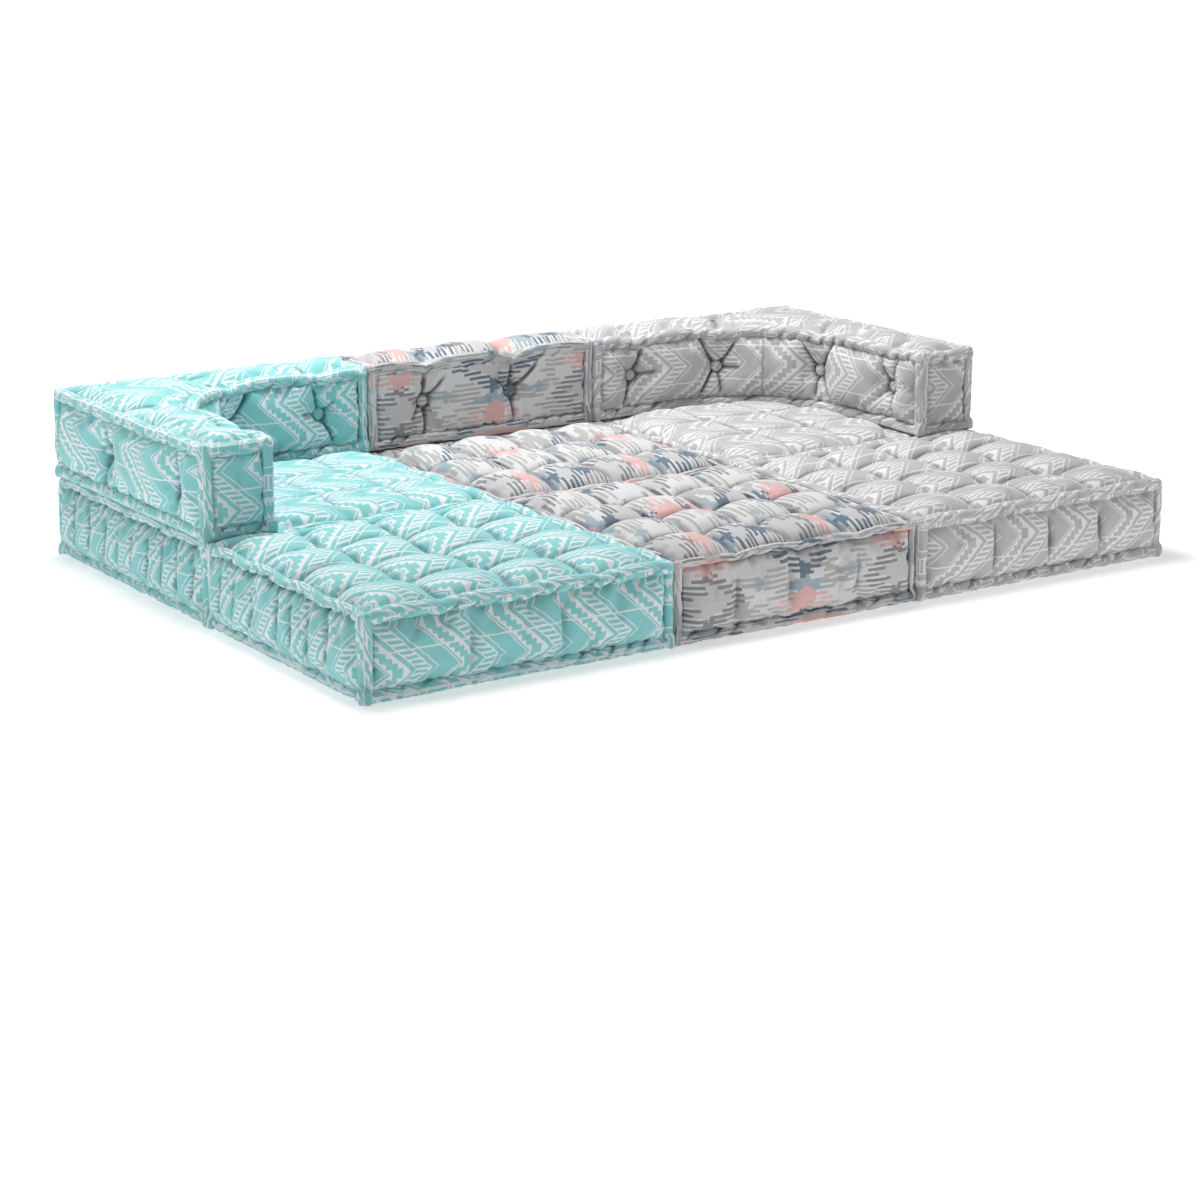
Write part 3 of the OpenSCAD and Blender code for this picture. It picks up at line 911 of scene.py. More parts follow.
def joined(patches: Sequence[Patch],
           bottoms: Sequence[Sequence[Array]] = ()) -> tuple[Array, Array, Array]:
    """Find which points of patches are the same.

    Args:
        patches: The patches, whose shared edges have the same points.
        bottoms: More faces, given by their corner points.

    Returns:
        All the points, the places of the ones that are kept, and for each point its kept one.
    """
    points = np.concatenate([patch.points.reshape(-1, 3) for patch in patches]
                            + [np.array(ring) for ring in bottoms])
    kept, shared = np.unique(np.round(points * 1e5).astype(np.int64), axis=0, return_index=True,
                             return_inverse=True)[1:]
    return points, kept, shared.ravel()


def weld(name: str, patches: Sequence[Patch], bottoms: Sequence[Sequence[Array]] = ()) -> Piece:
    """Join patches along their shared edges into one mesh object.

    Args:
        name: Name of the new object.
        patches: The patches, whose shared edges have the same points.
        bottoms: Faces given by their corner points, which lie on the patches' edges.

    Returns:
        The new object, linked to the scene.
    """
    points, kept, shared = joined(patches, bottoms)
    cloth = np.concatenate([patch.cloth.reshape(-1, 2) for patch in patches]
                           + [np.array(ring)[:, :2] for ring in bottoms])
    faces: list[list[int]] = []
    start = 0
    for patch in patches:
        faces.extend(patch.rings(start))
        start += patch.points.shape[0] * patch.points.shape[1]
    for ring in bottoms:
        faces.append(list(range(start, start + len(ring))))
        start += len(ring)
    welded = [[n for i, n in enumerate(ring) if shared[n] != shared[ring[i - 1]]] for ring in faces]
    welded = [ring for ring in welded if len(ring) > 2]
    mesh = bpy.data.meshes.new(name)
    mesh.from_pydata(points[kept].tolist(), [], [shared[ring].tolist() for ring in welded])
    loops = np.concatenate([np.array(ring) for ring in welded])
    # Painted shade as a point attribute: the patches' own, and full on the underside strips.
    painted_shade = np.concatenate([patch.painted_shade.ravel() for patch in patches]
                            + [np.ones(len(ring)) for ring in bottoms])
    mesh.attributes.new("painted_shade", "FLOAT", "POINT").data.foreach_set("value", painted_shade[kept].astype(np.float32))
    layer = mesh.uv_layers.new(name="cloth")
    layer.data.foreach_set("uv", cloth[loops].astype(np.float32).ravel())
    mesh.polygons.foreach_set("use_smooth", [True] * len(mesh.polygons))
    mesh.update()
    piece = bpy.data.objects.new(name, mesh)
    bpy.context.scene.collection.objects.link(piece)
    return piece


def coordinates(mesh: bpy.types.Mesh) -> Array:
    """Read the points of a mesh as rows of x, y and z.

    Args:
        mesh: The mesh.

    Returns:
        One row for each point.
    """
    flat = np.zeros(len(mesh.vertices) * 3, np.float32)
    mesh.vertices.foreach_get("co", flat)
    return flat.reshape(-1, 3).astype(float)


def place_points(mesh: bpy.types.Mesh, points: Array) -> None:
    """Write the points of a mesh from rows of x, y and z."""
    mesh.vertices.foreach_set("co", points.astype(np.float32).ravel())
    mesh.update()


@dataclass
class Tuft:
    """A pulled point of a side face, with the creases that run from it."""

    run: float
    height: float
    depth: float
    width: float
    creases: tuple[Crease, ...]


def tufted(runs: Sequence[float], level: float, depth: float, width: float,
           creases: Sequence[tuple[Crease, ...]]) -> tuple[Tuft, ...]:
    """Pull a tuft at each place, all at one level.

    Args:
        runs: Places along the face.
        level: Height on the face.
        depth: Depth of the pull.
        width: How far the pull reaches.
        creases: The creases of each tuft.

    Returns:
        The tufts.
    """
    return tuple(Tuft(run, level, depth, width, lines) for run, lines in zip(runs, creases))


@dataclass
class Side:
    """How one side face of a cushion looks."""

    # How far the cloth may stand out of and lie inside the outer face.
    PROUDEST = 0.018
    DEEPEST = 0.0285
    # Its small waves: height, size and what is added to the seed.
    RUMPLES = ((0.0024, 0.062, 0.0), (0.0012, 0.024, 3.0))
    # How deep pleats, gathers and puckers go, and the distance between puckers.
    PLEAT = 0.0150
    GATHER = 0.0080
    PUCKER = 0.0055
    PUCKER_PITCH = 0.029

    bulge: float = 0.006
    gathers: float = 0.0
    pitch: float = 0.085
    folds: tuple[float, ...] = ()
    fold: float = 0.007
    tufts: tuple[Tuft, ...] = ()
    seed: float = 1.0
    seam: float = -1.0
    corner: float = -1.0

    def depth(self, run: Array, height: Array, length: float, tall: float) -> Array:
        """Give how far the cloth lies inside the cushion's outer face.

        Args:
            run: Distance along the face.
            height: Height on the face.
            length: Length of the face.
            tall: Height of the face.

        Returns:
            The depth at each place.
        """
        edge = np.minimum(from_end(run, length), from_end(height, tall)) - Cushion.SEAM
        depth = Cushion.PANEL + (Cushion.SEAM - Cushion.PANEL) * (1 - np.clip(edge / 0.020, 0, 1)) ** 2.5
        open_up = np.sin(np.pi * np.clip((height - 0.02) / (tall - 0.04), 0, 1)) ** 0.6
        open_along = ramp(from_end(run, length), 0.015, 0.060)
        if self.corner > 0:
            open_along = open_along * ramp(np.abs(run - self.corner), 0.012, 0.055)
        depth = depth - self.bulge * open_up * open_along
        for high, size, seed in self.RUMPLES:
            depth = depth - high * mottle(run, height, size, self.seed + seed) * open_up
        depth = depth + self._gathered(run, height, tall) + self._puckered(run, height, tall)
        for place in self.folds:
            bow = place * length + 0.010 * np.sin(height / tall * np.pi)
            depth = depth + self.fold * np.exp(-np.abs((run - bow) / 0.010) ** 1.2) * open_up
        for tuft in self.tufts:
            depth = depth + self._pulled(tuft, run, height)
        return np.clip(depth, -self.PROUDEST, self.DEEPEST)

    def hold(self, run: Array, height: Array, tall: float) -> Array:
        """Give how firmly the filling and the stitches hold the cloth, 0 to 1.

        Args:
            run: Distance along the face.
            height: Height on the face.
            tall: Height of the face.

        Returns:
            The hold at each place.
        """
        firm = np.clip(self._gathered(run, height, tall) / 0.012, 0, 0.7) if self.gathers else run * 0.0
        for tuft in self.tufts:
            firm = np.maximum(firm, np.clip(self._pulled(tuft, run, height) / tuft.depth * 1.6 - 0.55, 0, 1))
        for place in self.folds:
            firm = np.maximum(firm, 0.3 * np.exp(-(((run - place) / 0.012) ** 2)))
        return firm

    def _gathered(self, run: Array, height: Array, tall: float) -> Array:
        """Give the depth of the pleats that the stitching gathers below the upper roll.

        Args:
            run: Distance along the face.
            height: Height on the face.
            tall: Height of the whole face.

        Returns:
            The depth of the pleats.
        """
        if not self.gathers:
            return np.zeros_like(run)
        t = np.clip((height - 0.03) / (tall - 0.06), 0, 1)
        bow = 0.034 * (1 - (2 * t - 1) ** 2) + 0.012 * t
        place = (run + bow + 0.030 * ripple(run, 0.13, self.seed)) / self.pitch
        pleat = np.abs(np.sin(np.pi * place)) ** 0.5
        share = 0.5 + 0.5 * hashed(np.floor(place + 0.5), self.seed + 5)
        half = np.abs(np.sin(np.pi * (place * 2 + 0.35))) ** 0.6
        lens = (1 - pleat) * self.PLEAT * share * ramp(t, 0.0, 0.22)
        gather = (1 - half) * self.GATHER * ramp(t, 0.45, 1.0)
        return self.gathers * (lens + gather)

    def _puckered(self, run: Array, height: Array, tall: float) -> Array:
        """Give the depth of the small puckers along the upper and lower seams.

        Args:
            run: Distance along the face.
            height: Height on the face.
            tall: Height of the whole face.

        Returns:
            The depth of the puckers.
        """
        near = from_end(height, tall)
        place = (run + 0.012 * ripple(run, 0.07, self.seed + 11) + 0.25 * (near - 0.02)) / self.PUCKER_PITCH
        fold = 1 - np.abs(np.sin(np.pi * place)) ** 0.7
        deep = hashed(np.floor(place + 0.5), self.seed + np.where(height > tall / 2, 13.0, 17.0))
        reach = 0.022 + 0.030 * deep
        return (self.PUCKER * deep * fold * (1 - ramp(near, 0.024, 0.024 + reach))
                * ramp(near, Cushion.SEAM, 0.0270))

    def _pulled(self, tuft: Tuft, run: Array, height: Array) -> Array:
        """Give the depth of a tuft's pull and of its creases.

        Args:
            tuft: The tuft.
            run: Distance along the face.
            height: Height on the face.

        Returns:
            The depth of its pull.
        """
        across, up = run - tuft.run, height - tuft.height
        reach = np.hypot(across, up)
        pull = tuft.depth * (1 - np.clip((reach - 0.018) / tuft.width, 0, 1) ** 0.50)
        for angle, length, depth in tuft.creases:
            turn = math.radians(angle)
            along = across * math.cos(turn) + up * math.sin(turn)
            beside = -across * math.sin(turn) + up * math.cos(turn)
            beside = beside - math.copysign(0.9, 90 - abs(angle)) * math.copysign(1, angle) * along * along
            fade = ramp(along, 0.0, 0.012) * (1 - ramp(along, length * 0.8, length * 1.25))
            width = 0.0042 + 0.024 * np.clip(along, 0, 1)
            pull = pull + depth * fade * np.exp(-(np.abs(beside / width) ** 1.3))
        return pull


@dataclass
class Top:
    """How the top panel of a cushion looks."""

    # How deep the creases of a slack top go, and how high and wide its swells are.
    CREASE = 0.0075
    SWELL = (0.0060, 0.150)
    # Small waves of every top: height, size and what is added to the seed.
    RUMPLES = ((0.0020, 0.060, 0.0), (0.0010, 0.026, 2.0))

    crown: float = 0.016
    tuft: float = 0.030
    cells: tuple[int, int] = (4, 4)
    share: float = 1.0
    seed: float = 1.0
    front: Front | None = None
    hem: float = -0.0045
    tuft_lines: tuple[float, ...] = ()

    def rise(self, along: Array, across: Array, x: Array, y: Array) -> Array:
        """Give the height of the cloth over the edge of the top panel.

        Args:
            along: Place along the cushion, 0 to 1 between its end seams.
            across: Place across it, 0 to 1 between its side seams.
            x: Place in plan.
            y: Place in plan.

        Returns:
            The height at each place.
        """
        u, v = self._cells(along, across, x, y)
        pillow = self._pillow(u, v)
        size = 1 + 0.16 * (hashed(np.floor(u) * 7 + np.floor(v) * 3, self.seed) - 0.5)
        tufted = -self.tuft + (self.crown * size + self.tuft) * pillow
        reach = np.minimum(from_end(along, 1) * self.cells[0], from_end(across, 1) * self.cells[1])
        smooth = self.crown * (1 - (1 - np.clip(reach / 0.55, 0, 1)) ** 2.2)
        smooth = smooth - 0.012 * (1 - ramp(reach, 0, 0.2))
        smooth = smooth + self.SWELL[0] * mottle(x, y, self.SWELL[1], self.seed + 1)
        crease = 1 - np.abs(np.sin(np.pi * (u * 0.9 + 0.30 * ripple(y, 0.16, self.seed)))) ** 0.35
        smooth = smooth - self.CREASE * crease
        height = smooth + (tufted - smooth) * self.share
        for high, size, seed in self.RUMPLES:
            height = height + high * mottle(x, y, size, self.seed + seed)
        if self.front is not None:
            height = self.hem + (height - self.hem) * ramp(self.front(x, y), 0.006, 0.070)
        return height

    def hold(self, along: Array, across: Array, x: Array, y: Array) -> Array:
        """Give how firmly the tufts and what stands on the cushion hold the cloth, 0 to 1.

        Args:
            along: Place along the cushion, 0 to 1.
            across: Place across the cushion, 0 to 1.
            x: Places in plan.
            y: Places in plan.

        Returns:
            The hold at each place.
        """
        u, v = self._cells(along, across, x, y)
        firm = self.share * (1 - ramp(self._pillow(u, v), 0.05, 0.42))
        if self.front is not None:
            firm = np.maximum(firm, 1 - ramp(self.front(x, y), 0.0, 0.05))
        return firm

    def _cells(self, along: Array, across: Array, x: Array, y: Array) -> tuple[Array, Array]:
        """Count pillows along and across, with creases that wander a little.

        Args:
            along: Place along the cushion, 0 to 1.
            across: Place across the cushion, 0 to 1.
            x: Places in plan.
            y: Places in plan.

        Returns:
            The count along and the count across.
        """
        wander = 0.05 * mottle(x, y, 0.11, self.seed + 7)
        lines = [0.0, *self.tuft_lines, 1.0]
        counted = np.interp(along, lines, np.arange(len(lines))) if self.tuft_lines else along * self.cells[0]
        u = counted + wander * np.sin(np.pi * along)
        v = across * self.cells[1] + wander * np.sin(np.pi * across)
        return u, v

    def _pillow(self, u: Array, v: Array) -> Array:
        """Give the height of round pillows, 0 at the tufts and 1 at the crowns.

        Args:
            u: Count along.
            v: Count across.

        Returns:
            The height, 0 to 1.
        """
        a = (1 - np.abs(2 * np.mod(u, 1.0) - 1) ** 2.3) ** 0.62
        b = (1 - np.abs(2 * np.mod(v, 1.0) - 1) ** 2.3) ** 0.62
        return 0.20 * (a + b) + 0.60 * a * b


def hollowed(depth: Array, reach: int = 4, full: float = 0.0055) -> Array:
    """Find the creases of a grid of depths, to be darkened as painted shade.

    Args:
        depth: Depth at each point of the grid.
        reach: How many points on each side count as surroundings.
        full: How far below its surroundings a point counts as 1.

    Returns:
        How far each point lies below its surroundings, 0 to 1.
    """
    blurred = depth
    for axis in (0, 1):
        wide = np.pad(blurred, [(reach, reach) if a == axis else (0, 0) for a in (0, 1)], mode="edge")
        total = np.cumsum(wide, axis=axis)
        total = np.insert(total, 0, 0, axis=axis)
        size = 2 * reach + 1
        high = np.take(total, range(size, total.shape[axis]), axis=axis)
        low = np.take(total, range(0, total.shape[axis] - size), axis=axis)
        blurred = (high - low) / size
    return np.clip((depth - blurred) / full, 0, 1)


def held(hold: Array) -> Array:
    """Hold the border of a patch firmly as well.

    Args:
        hold: How firmly each point is held.

    Returns:
        The hold, 1 along the border.
    """
    hold = np.clip(hold, 0, 1)
    for border in BORDERS:
        hold[border] = 1.0
    return hold


@dataclass
class Cushion:
    """A padded cushion: its jacket, rolled edges, underside and buttons."""

    # The seams' and the panels' distance inside the outer faces, and the first lines of a panel.
    SEAM = 0.0207
    PANEL = 0.0064
    MARGIN = (SEAM, 0.0240, 0.0290)
    # The share by which cloth still passes a neighbour's face once it is pressed back.
    GIVE = (0.05, 0.05, 0.0)
    # How much longer fully gathered cloth is, where the print starts on the two end
    # faces, and how far it jumps at the seam in a corner back.
    SLACK = 0.45
    END_PRINTS = (0.4, 0.1)
    BACK_PRINT = 0.057
    # How far the upper edges rise between buttons, are pushed out there and rise between tufts.
    BUTTON_RISE = 0.016
    BUTTON_PUSH = 0.012
    TUFT_RISE = 0.009
    # The rolled edges: their size, their place inside the outer faces, below the top and
    # above the bottom, the distance between their rings and the angle of their stitches.
    ROLL_RADIUS = 0.0142
    ROLL_INSET = 0.0120
    ROLL_DROP = 0.0145
    ROLL_RISE = 0.0120
    ROLL_STEP = 0.0034
    ROLL_SEAM = 1.05
    # How deep a button sits, and its outline as pairs of radius and height.
    BUTTON_INSET = 0.0295
    BUTTON = ((0.0, 0.0086), (0.004, 0.0084), (0.008, 0.0077), (0.012, 0.0062), (0.0150, 0.0040),
              (0.0164, 0.0018), (0.0160, -0.0004), (0.0120, -0.0020), (0.0035, -0.0022),
              (0.0025, -0.0060), (0.0, -0.0065))

    body: str
    plan: BlockPlan | CornerPlan
    height: float
    origin: tuple[float, float, float]
    colourway: Colourway
    near: Side
    far: Side
    start: Side
    end: Side
    top: Top
    limits: tuple[Array, Array]
    mirrored: bool = False
    cell: float = 0.0072
    fill: float = 0.8
    end_way: float = 1.0
    roll_seed: float = 1.0
    button_runs: tuple[float, ...] = ()

    def __post_init__(self) -> None:
        """Cut the cloth."""
        self.turn = -1.0 if self.mirrored else 1.0
        self.cut = self.patches()

    def _swapped(self, points: Array) -> Array:
        """Swap left and right in a mirrored cushion.

        Args:
            points: Points in plan or in space.

        Returns:
            The points, swapped or not.
        """
        points = np.array(points, float)
        if self.mirrored:
            points[..., 0] = self.plan.width - points[..., 0]
        return points

    def world(self, points: Array) -> Array:
        """Move points from the near left corner of an unmirrored cushion to the sofa's frame."""
        return self._swapped(points) + np.array(self.origin)

    def local(self, points: Array) -> Array:
        """Move points from the sofa's frame to the near left corner of an unmirrored cushion."""
        return self._swapped(points - np.array(self.origin))

    def kept(self, points: Array) -> Array:
        """Press points that pass the neighbours' faces back against them.

        Args:
            points: Points in the sofa's frame.

        Returns:
            The pressed points.
        """
        inside = np.clip(points, *self.limits)
        points = inside + np.array(self.GIVE) * (points - inside)
        if self.top.front is not None:
            x, y = self.local(points)[:, :2].T
            ceiling = self.origin[2] + self.height - 0.0004 + 0.040 * ramp(self.top.front(x, y), 0.006, 0.064)
            points[:, 2] = np.minimum(points[:, 2], ceiling)
        return points

    def softened(self, points: Array) -> Array:
        """Let the upper edges rise between the tufts and sink beside them, as stuffed edges do.

        Args:
            points: Points in the sofa's frame.

        Returns:
            The moved points.
        """
        local = self.local(points)
        x, y = local[:, 0], local[:, 1]
        high = ramp(local[:, 2], 0.62 * self.height, self.height)
        if self.button_runs:
            run, inset, out = self.plan.locate(x, y)
            tufts = np.array(sorted(self.button_runs))
            knots = np.concatenate([[2 * tufts[0] - tufts[1]], tufts, [2 * tufts[-1] - tufts[-2]]])
            wave = np.abs(np.sin(np.pi * np.interp(run, knots, np.arange(len(knots))))) ** 0.6
            calm = ramp(from_end(run, self.plan.run), 0.0, 0.06) * high
            local[:, 2] += self.BUTTON_RISE * (wave - 0.62) * calm * (1 - ramp(inset, 0.02, 0.13))
            push = self.BUTTON_PUSH * (wave - 0.55) * calm * (1 - ramp(inset, 0.01, 0.07))
            local[:, :2] += out * push[:, None]
        else:
            spans = ((x, self.plan.width, self.top.cells[0]), (y, self.plan.depth, self.top.cells[1]))
            wave = [np.abs(np.sin(np.pi * place / size * cells)) ** 0.7 - 0.6
                    for place, size, cells in spans]
            end, side = (1 - ramp(from_end(place, size), 0.015, 0.09) for place, size, _ in spans)
            local[:, 2] += self.TUFT_RISE * high * (wave[0] * side + wave[1] * end * (1 - side))
        return self.world(local)

    def on_top(self, points: Array) -> Array:
        """Give where points of the top lie on the printed cloth.

        Args:
            points: Points in the sofa's frame.

        Returns:
            The place on the cloth of each point, in metres.
        """
        base = points - np.array(self.origin)
        if self.colourway is Colourway.IKAT:
            return paired(base[..., 1], base[..., 0] + 0.05)
        ahead = GREY_LIFT if self.colourway is Colourway.GREY else 0.0
        return paired(base[..., 0], base[..., 1] + self.height + ahead)

    def patches(self) -> list[Patch]:
        """Cut the four sides and the top of the jacket.

        Returns:
            The near, far, top, start and end patch.
        """
        runs = self.plan.stations(self.MARGIN, self.cell)
        levels = spaced(self.height, self.MARGIN, self.cell)
        lines = self._cross_lines()
        return [
            self._side_patch(self.near, self.plan.near, 1.0, runs, levels),
            self._side_patch(self.far, self.plan.far, -1.0, runs, levels),
            self._top_patch(runs, lines),
            self._end_patch(self.start, True, lines, levels),
            self._end_patch(self.end, False, lines, levels),
        ]

    def _side_patch(self, side: Side, edge: Callable[..., Array], out: float,
                    runs: Array, levels: Array) -> Patch:
        """Cut the near or the far face, and bring its borders exactly onto its seams.

        Args:
            side: How the face looks.
            edge: The plan's edge.
            out: 1 for the near face, -1 for the far one.
            runs: Places of the mesh lines.
            levels: Heights of the mesh lines.

        Returns:
            The patch.
        """
        s, z = np.meshgrid(runs, levels, indexing="ij")
        depth = side.depth(s, z, self.plan.run, self.height)
        flat = edge(s, depth)
        for border in BORDERS:
            flat[border] = edge(s[border], self.SEAM)
        points = self.world(np.concatenate([flat, z[..., None]], axis=-1))
        length = (runs[0] + travelled(edge(runs, 0.012))) * (1 + self.SLACK * side.gathers)
        cloth = paired((out * self.turn) * length[:, None], z)
        # Painted shade in the face's creases, and along the seam of a corner back, where the mesh is too
        # coarse for its groove.
        painted_shade = hollowed(depth)
        if side.seam > 0:
            cloth[runs > side.seam, :, 0] += self.BACK_PRINT
            painted_shade = np.maximum(painted_shade, 0.6 * np.exp(-(((s - side.seam) / 0.0030) ** 2)))
        hold = held(side.hold(s, z, self.height))
        return Patch(points, cloth, hold, painted_shade, flip=(out < 0) != self.mirrored)

    def _top_patch(self, runs: Array, lines: Lines) -> Patch:
        """Cut the tufted top panel.

        Args:
            runs: Places of the mesh lines.
            lines: The lines along the top.

        Returns:
            The patch.
        """
        last = self.MARGIN[-1]
        flat = np.stack([self._cross_point(runs, kind, value) for kind, value in lines], axis=1)
        x, y = flat[..., 0], flat[..., 1]
        share = np.clip((runs - last) / (self.plan.run - 2 * last), 0, 1)
        along = np.broadcast_to(share[:, None], x.shape)
        panel = {"near": 0.0, "far": 1.0}
        across = np.broadcast_to([panel.get(kind, value) for kind, value in lines], x.shape)
        rise = self.top.rise(along, across, x, y)
        wide = self.plan.thickness() - 2 * last
        inset = [value if kind in panel else last + min(value, 1 - value) * wide for kind, value in lines]
        edge = np.minimum(from_end(runs, self.plan.run)[:, None], inset) - self.SEAM
        height = self.height - self.SEAM + (rise + self.SEAM) * np.clip(edge / 0.030, 0, 1) ** 0.5
        points = self.world(np.concatenate([flat, height[..., None]], axis=-1))
        hold = held(self.top.hold(along, across, x, y))
        # The top's creases get painted shade too, weakened to 0.7.
        return Patch(points, self.on_top(points), hold, hollowed(-height) * 0.7, flip=self.mirrored)

    def _cross_lines(self) -> Lines:
        """List the lines along the top: near edge, middle, far edge.

        Returns:
            Kind and value of each line.
        """
        thick = self.plan.thickness()
        count = even((thick - 2 * self.MARGIN[-1]) / self.cell)
        head = [("near", m) for m in self.MARGIN]
        middle = [("mix", c / count) for c in range(1, count)]
        tail = [("far", m) for m in reversed(self.MARGIN)]
        return head + middle + tail

    def _cross_point(self, runs: Places, kind: str, value: float) -> Array:
        """Give the plan points of one line along the top.

        Args:
            runs: Places on the run.
            kind: near, far or mix.
            value: Inset, or share of the way across.

        Returns:
            The points.
        """
        if kind == "near":
            return self.plan.near(runs, value)
        if kind == "far":
            return self.plan.far(runs, value)
        last = self.MARGIN[-1]
        return self.plan.near(runs, last) * (1 - value) + self.plan.far(runs, last) * value

    def _end_patch(self, side: Side, first: bool, lines: Lines, levels: Array) -> Patch:
        """Cut one end face, whose borders lie on the seams of the sides and the top.

        Args:
            side: How the face looks.
            first: Whether it is the start, not the end.
            lines: The lines along the top.
            levels: Heights of the mesh lines.

        Returns:
            The patch.
        """
        base, inward, turn, start = (
            (0.0, 1.0, self.turn, self.END_PRINTS[0]) if first
            else (self.plan.run, -1.0, -self.turn, self.END_PRINTS[1]))
        border = np.stack([self._cross_point(base + inward * self.SEAM, k, v) for k, v in lines])
        place = self.SEAM + travelled(border)
        p, z = np.meshgrid(place, levels, indexing="ij")
        depth = side.depth(p, z, place[-1] + self.SEAM, self.height)
        for edge in BORDERS:
            depth[edge] = self.SEAM
        toward = self.plan.near(base, self.SEAM)
        away = self.plan.near(base + inward * 0.1, self.SEAM)
        direction = (away - toward) / np.linalg.norm(away - toward)
        flat = border[:, None, :] + direction * (depth - self.SEAM)[..., None]
        points = self.world(np.concatenate([flat, z[..., None]], axis=-1))
        cloth = paired(self.end_way * turn * p * (1 + self.SLACK * side.gathers) + start, z)
        hold = held(side.hold(p, z, self.height))
        # Painted shade in the end face's creases.
        return Patch(points, cloth, hold, hollowed(depth), flip=first != self.mirrored)

    def bottoms(self) -> list[list[Array]]:
        """Close the underside with long strips between the two side seams.

        Returns:
            The corner points of each strip.
        """
        runs = self.plan.stations(self.MARGIN, self.cell)
        near, far = self.plan.near(runs, self.SEAM), self.plan.far(runs, self.SEAM)
        ends = [self._cross_point(run, kind, value)
                for run in (runs[0], runs[-1]) for kind, value in self._cross_lines()]
        half = len(ends) // 2

        def lift(point: Array) -> Array:
            """Place a plan point at the height of the lower seam."""
            return self.world(np.array([point[0], point[1], self.SEAM]))

        first = [lift(p) for p in ends[:half]] + [lift(far[1]), lift(near[1])]
        last = [lift(p) for p in ends[half:][::-1]] + [lift(near[-2]), lift(far[-2])]
        rings = [first, last]
        for i in range(1, len(runs) - 2):
            rings.append([lift(near[i]), lift(far[i]), lift(far[i + 1]), lift(near[i + 1])])
        return [ring[::-1] for ring in rings] if self.mirrored else rings

    def _sewn(self, name: str, patches: Sequence[Patch], wardrobe: Wardrobe,
              bottoms: Sequence[Sequence[Array]] = ()) -> Piece:
        """Sew patches in the cushion's cloth and let them settle against the neighbours.

        Args:
            name: What the piece is called.
            patches: The patches.
            wardrobe: The finishes.
            bottoms: Faces that close it below.

        Returns:
            The piece.
        """
        piece = weld(f"{self.body}_{name}", patches, bottoms)
        place_points(piece.data, self.kept(self.softened(coordinates(piece.data))))
        piece.data.materials.append(wardrobe.prints[self.colourway])
        return piece

    def jacket(self, wardrobe: Wardrobe) -> Piece:
        """Sew the padded jacket and put it in place of its solid.

        Args:
            wardrobe: The finishes.

        Returns:
            The jacket.
        """
        piece = self._sewn("jacket", self.cut, wardrobe, self.bottoms())
        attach(piece, self.body)
        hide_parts(f"{self.body}_cover")
        return piece

    def _loop(self, level: float) -> Array:
        """Give the closed path of a rolled edge round the cushion at one level.

        Args:
            level: Height of the path.

        Returns:
            The points of the path.
        """
        plan = self.plan
        runs = np.linspace(0, plan.run, max(8, round(plan.run / self.ROLL_STEP)))
        path = np.concatenate([plan.near(runs, self.ROLL_INSET), plan.far(runs, self.ROLL_INSET)[::-1]])
        return even_path(path[self._between_ends(path)], self.ROLL_STEP, level)

    def _between_ends(self, path: Array) -> Array:
        """Tell which points of a path lie inside the cushion's end faces.

        Args:
            path: Plan points.

        Returns:
            True for the points that lie inside.
        """
        plan = self.plan
        keep = np.ones(len(path), bool)
        for end, beside in ((0.0, 0.1), (plan.run, plan.run - 0.1)):
            point, inner = plan.near(end, 0.0), plan.near(beside, 0.0)
            inward = (inner - point) / np.linalg.norm(inner - point)
            near_end = np.linalg.norm(path - point, axis=1) < plan.thickness() * 1.5
            keep &= ~(near_end & ((path - point) @ inward < self.ROLL_INSET - 1e-6))
        return keep

    def _post(self, index: int, run: float, outer: bool, radius: float) -> RolledEdge:
        """Roll one upright edge, which ends in a knob at its foot.

        Args:
            index: Which upright edge it is.
            run: Its place on the run.
            outer: Whether it stands on the far edge.
            radius: Radius of the roll.

        Returns:
            The rolled edge.
        """
        edge = self.plan.far if outer else self.plan.near
        inward = self.ROLL_INSET if run == 0 else (-self.ROLL_INSET if run == self.plan.run else 0.0)
        foot = edge(run + inward, self.ROLL_INSET)
        out = edge(run, 0.0) - foot
        out = out / (np.linalg.norm(out) + 1e-9)
        rise = np.arange(0.005, self.height - 0.004, 0.0040)
        knob = (1 - ramp(rise, 0.018, 0.034))[:, None] * 0.0080
        path = np.concatenate([foot + out * knob, rise[:, None]], axis=1)
        return RolledEdge(path, radius, closed=False, seed=self.roll_seed + 20 + index,
                          seam=math.atan2(out[0], out[1]), lean=0.8 * self.turn, crimps=0.55, flat=1.12)

    def rolls(self, wardrobe: Wardrobe) -> Piece:
        """Roll and crimp the edges round the top and bottom and up the corners.

        Args:
            wardrobe: The finishes.

        Returns:
            The rolled edges as one piece.
        """
        slight = self.colourway is Colourway.IKAT and not self.button_runs
        upper, lower, post = (self.ROLL_RADIUS * swell for swell in (
            (0.70, 1.00, 0.66) if slight else (1.20, 1.10, 1.08)))
        slim = 0.24 if self.start.gathers > 0.5 else 0.0
        edges = [
            RolledEdge(self._loop(self.height - self.ROLL_DROP), upper, closed=True, seed=self.roll_seed,
                       seam=-self.ROLL_SEAM, lean=self.turn, crimps=1.15, slim=slim),
            RolledEdge(self._loop(self.ROLL_RISE), lower, closed=True, seed=self.roll_seed + 7,
                       seam=self.ROLL_SEAM, lean=self.turn, crimps=1.05),
        ]
        edges += [self._post(index, run, outer, post)
                  for index, (run, outer) in enumerate(self.plan.corners())]
        tubes = [edge.patch() for edge in edges]
        for patch in tubes:
            patch.points = self.world(patch.points)
            patch.flip = patch.flip != self.mirrored
        piece = self._sewn("rolled_edges", tubes, wardrobe)
        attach(piece, self.body)
        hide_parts(f"{self.body}_rolls")
        return piece

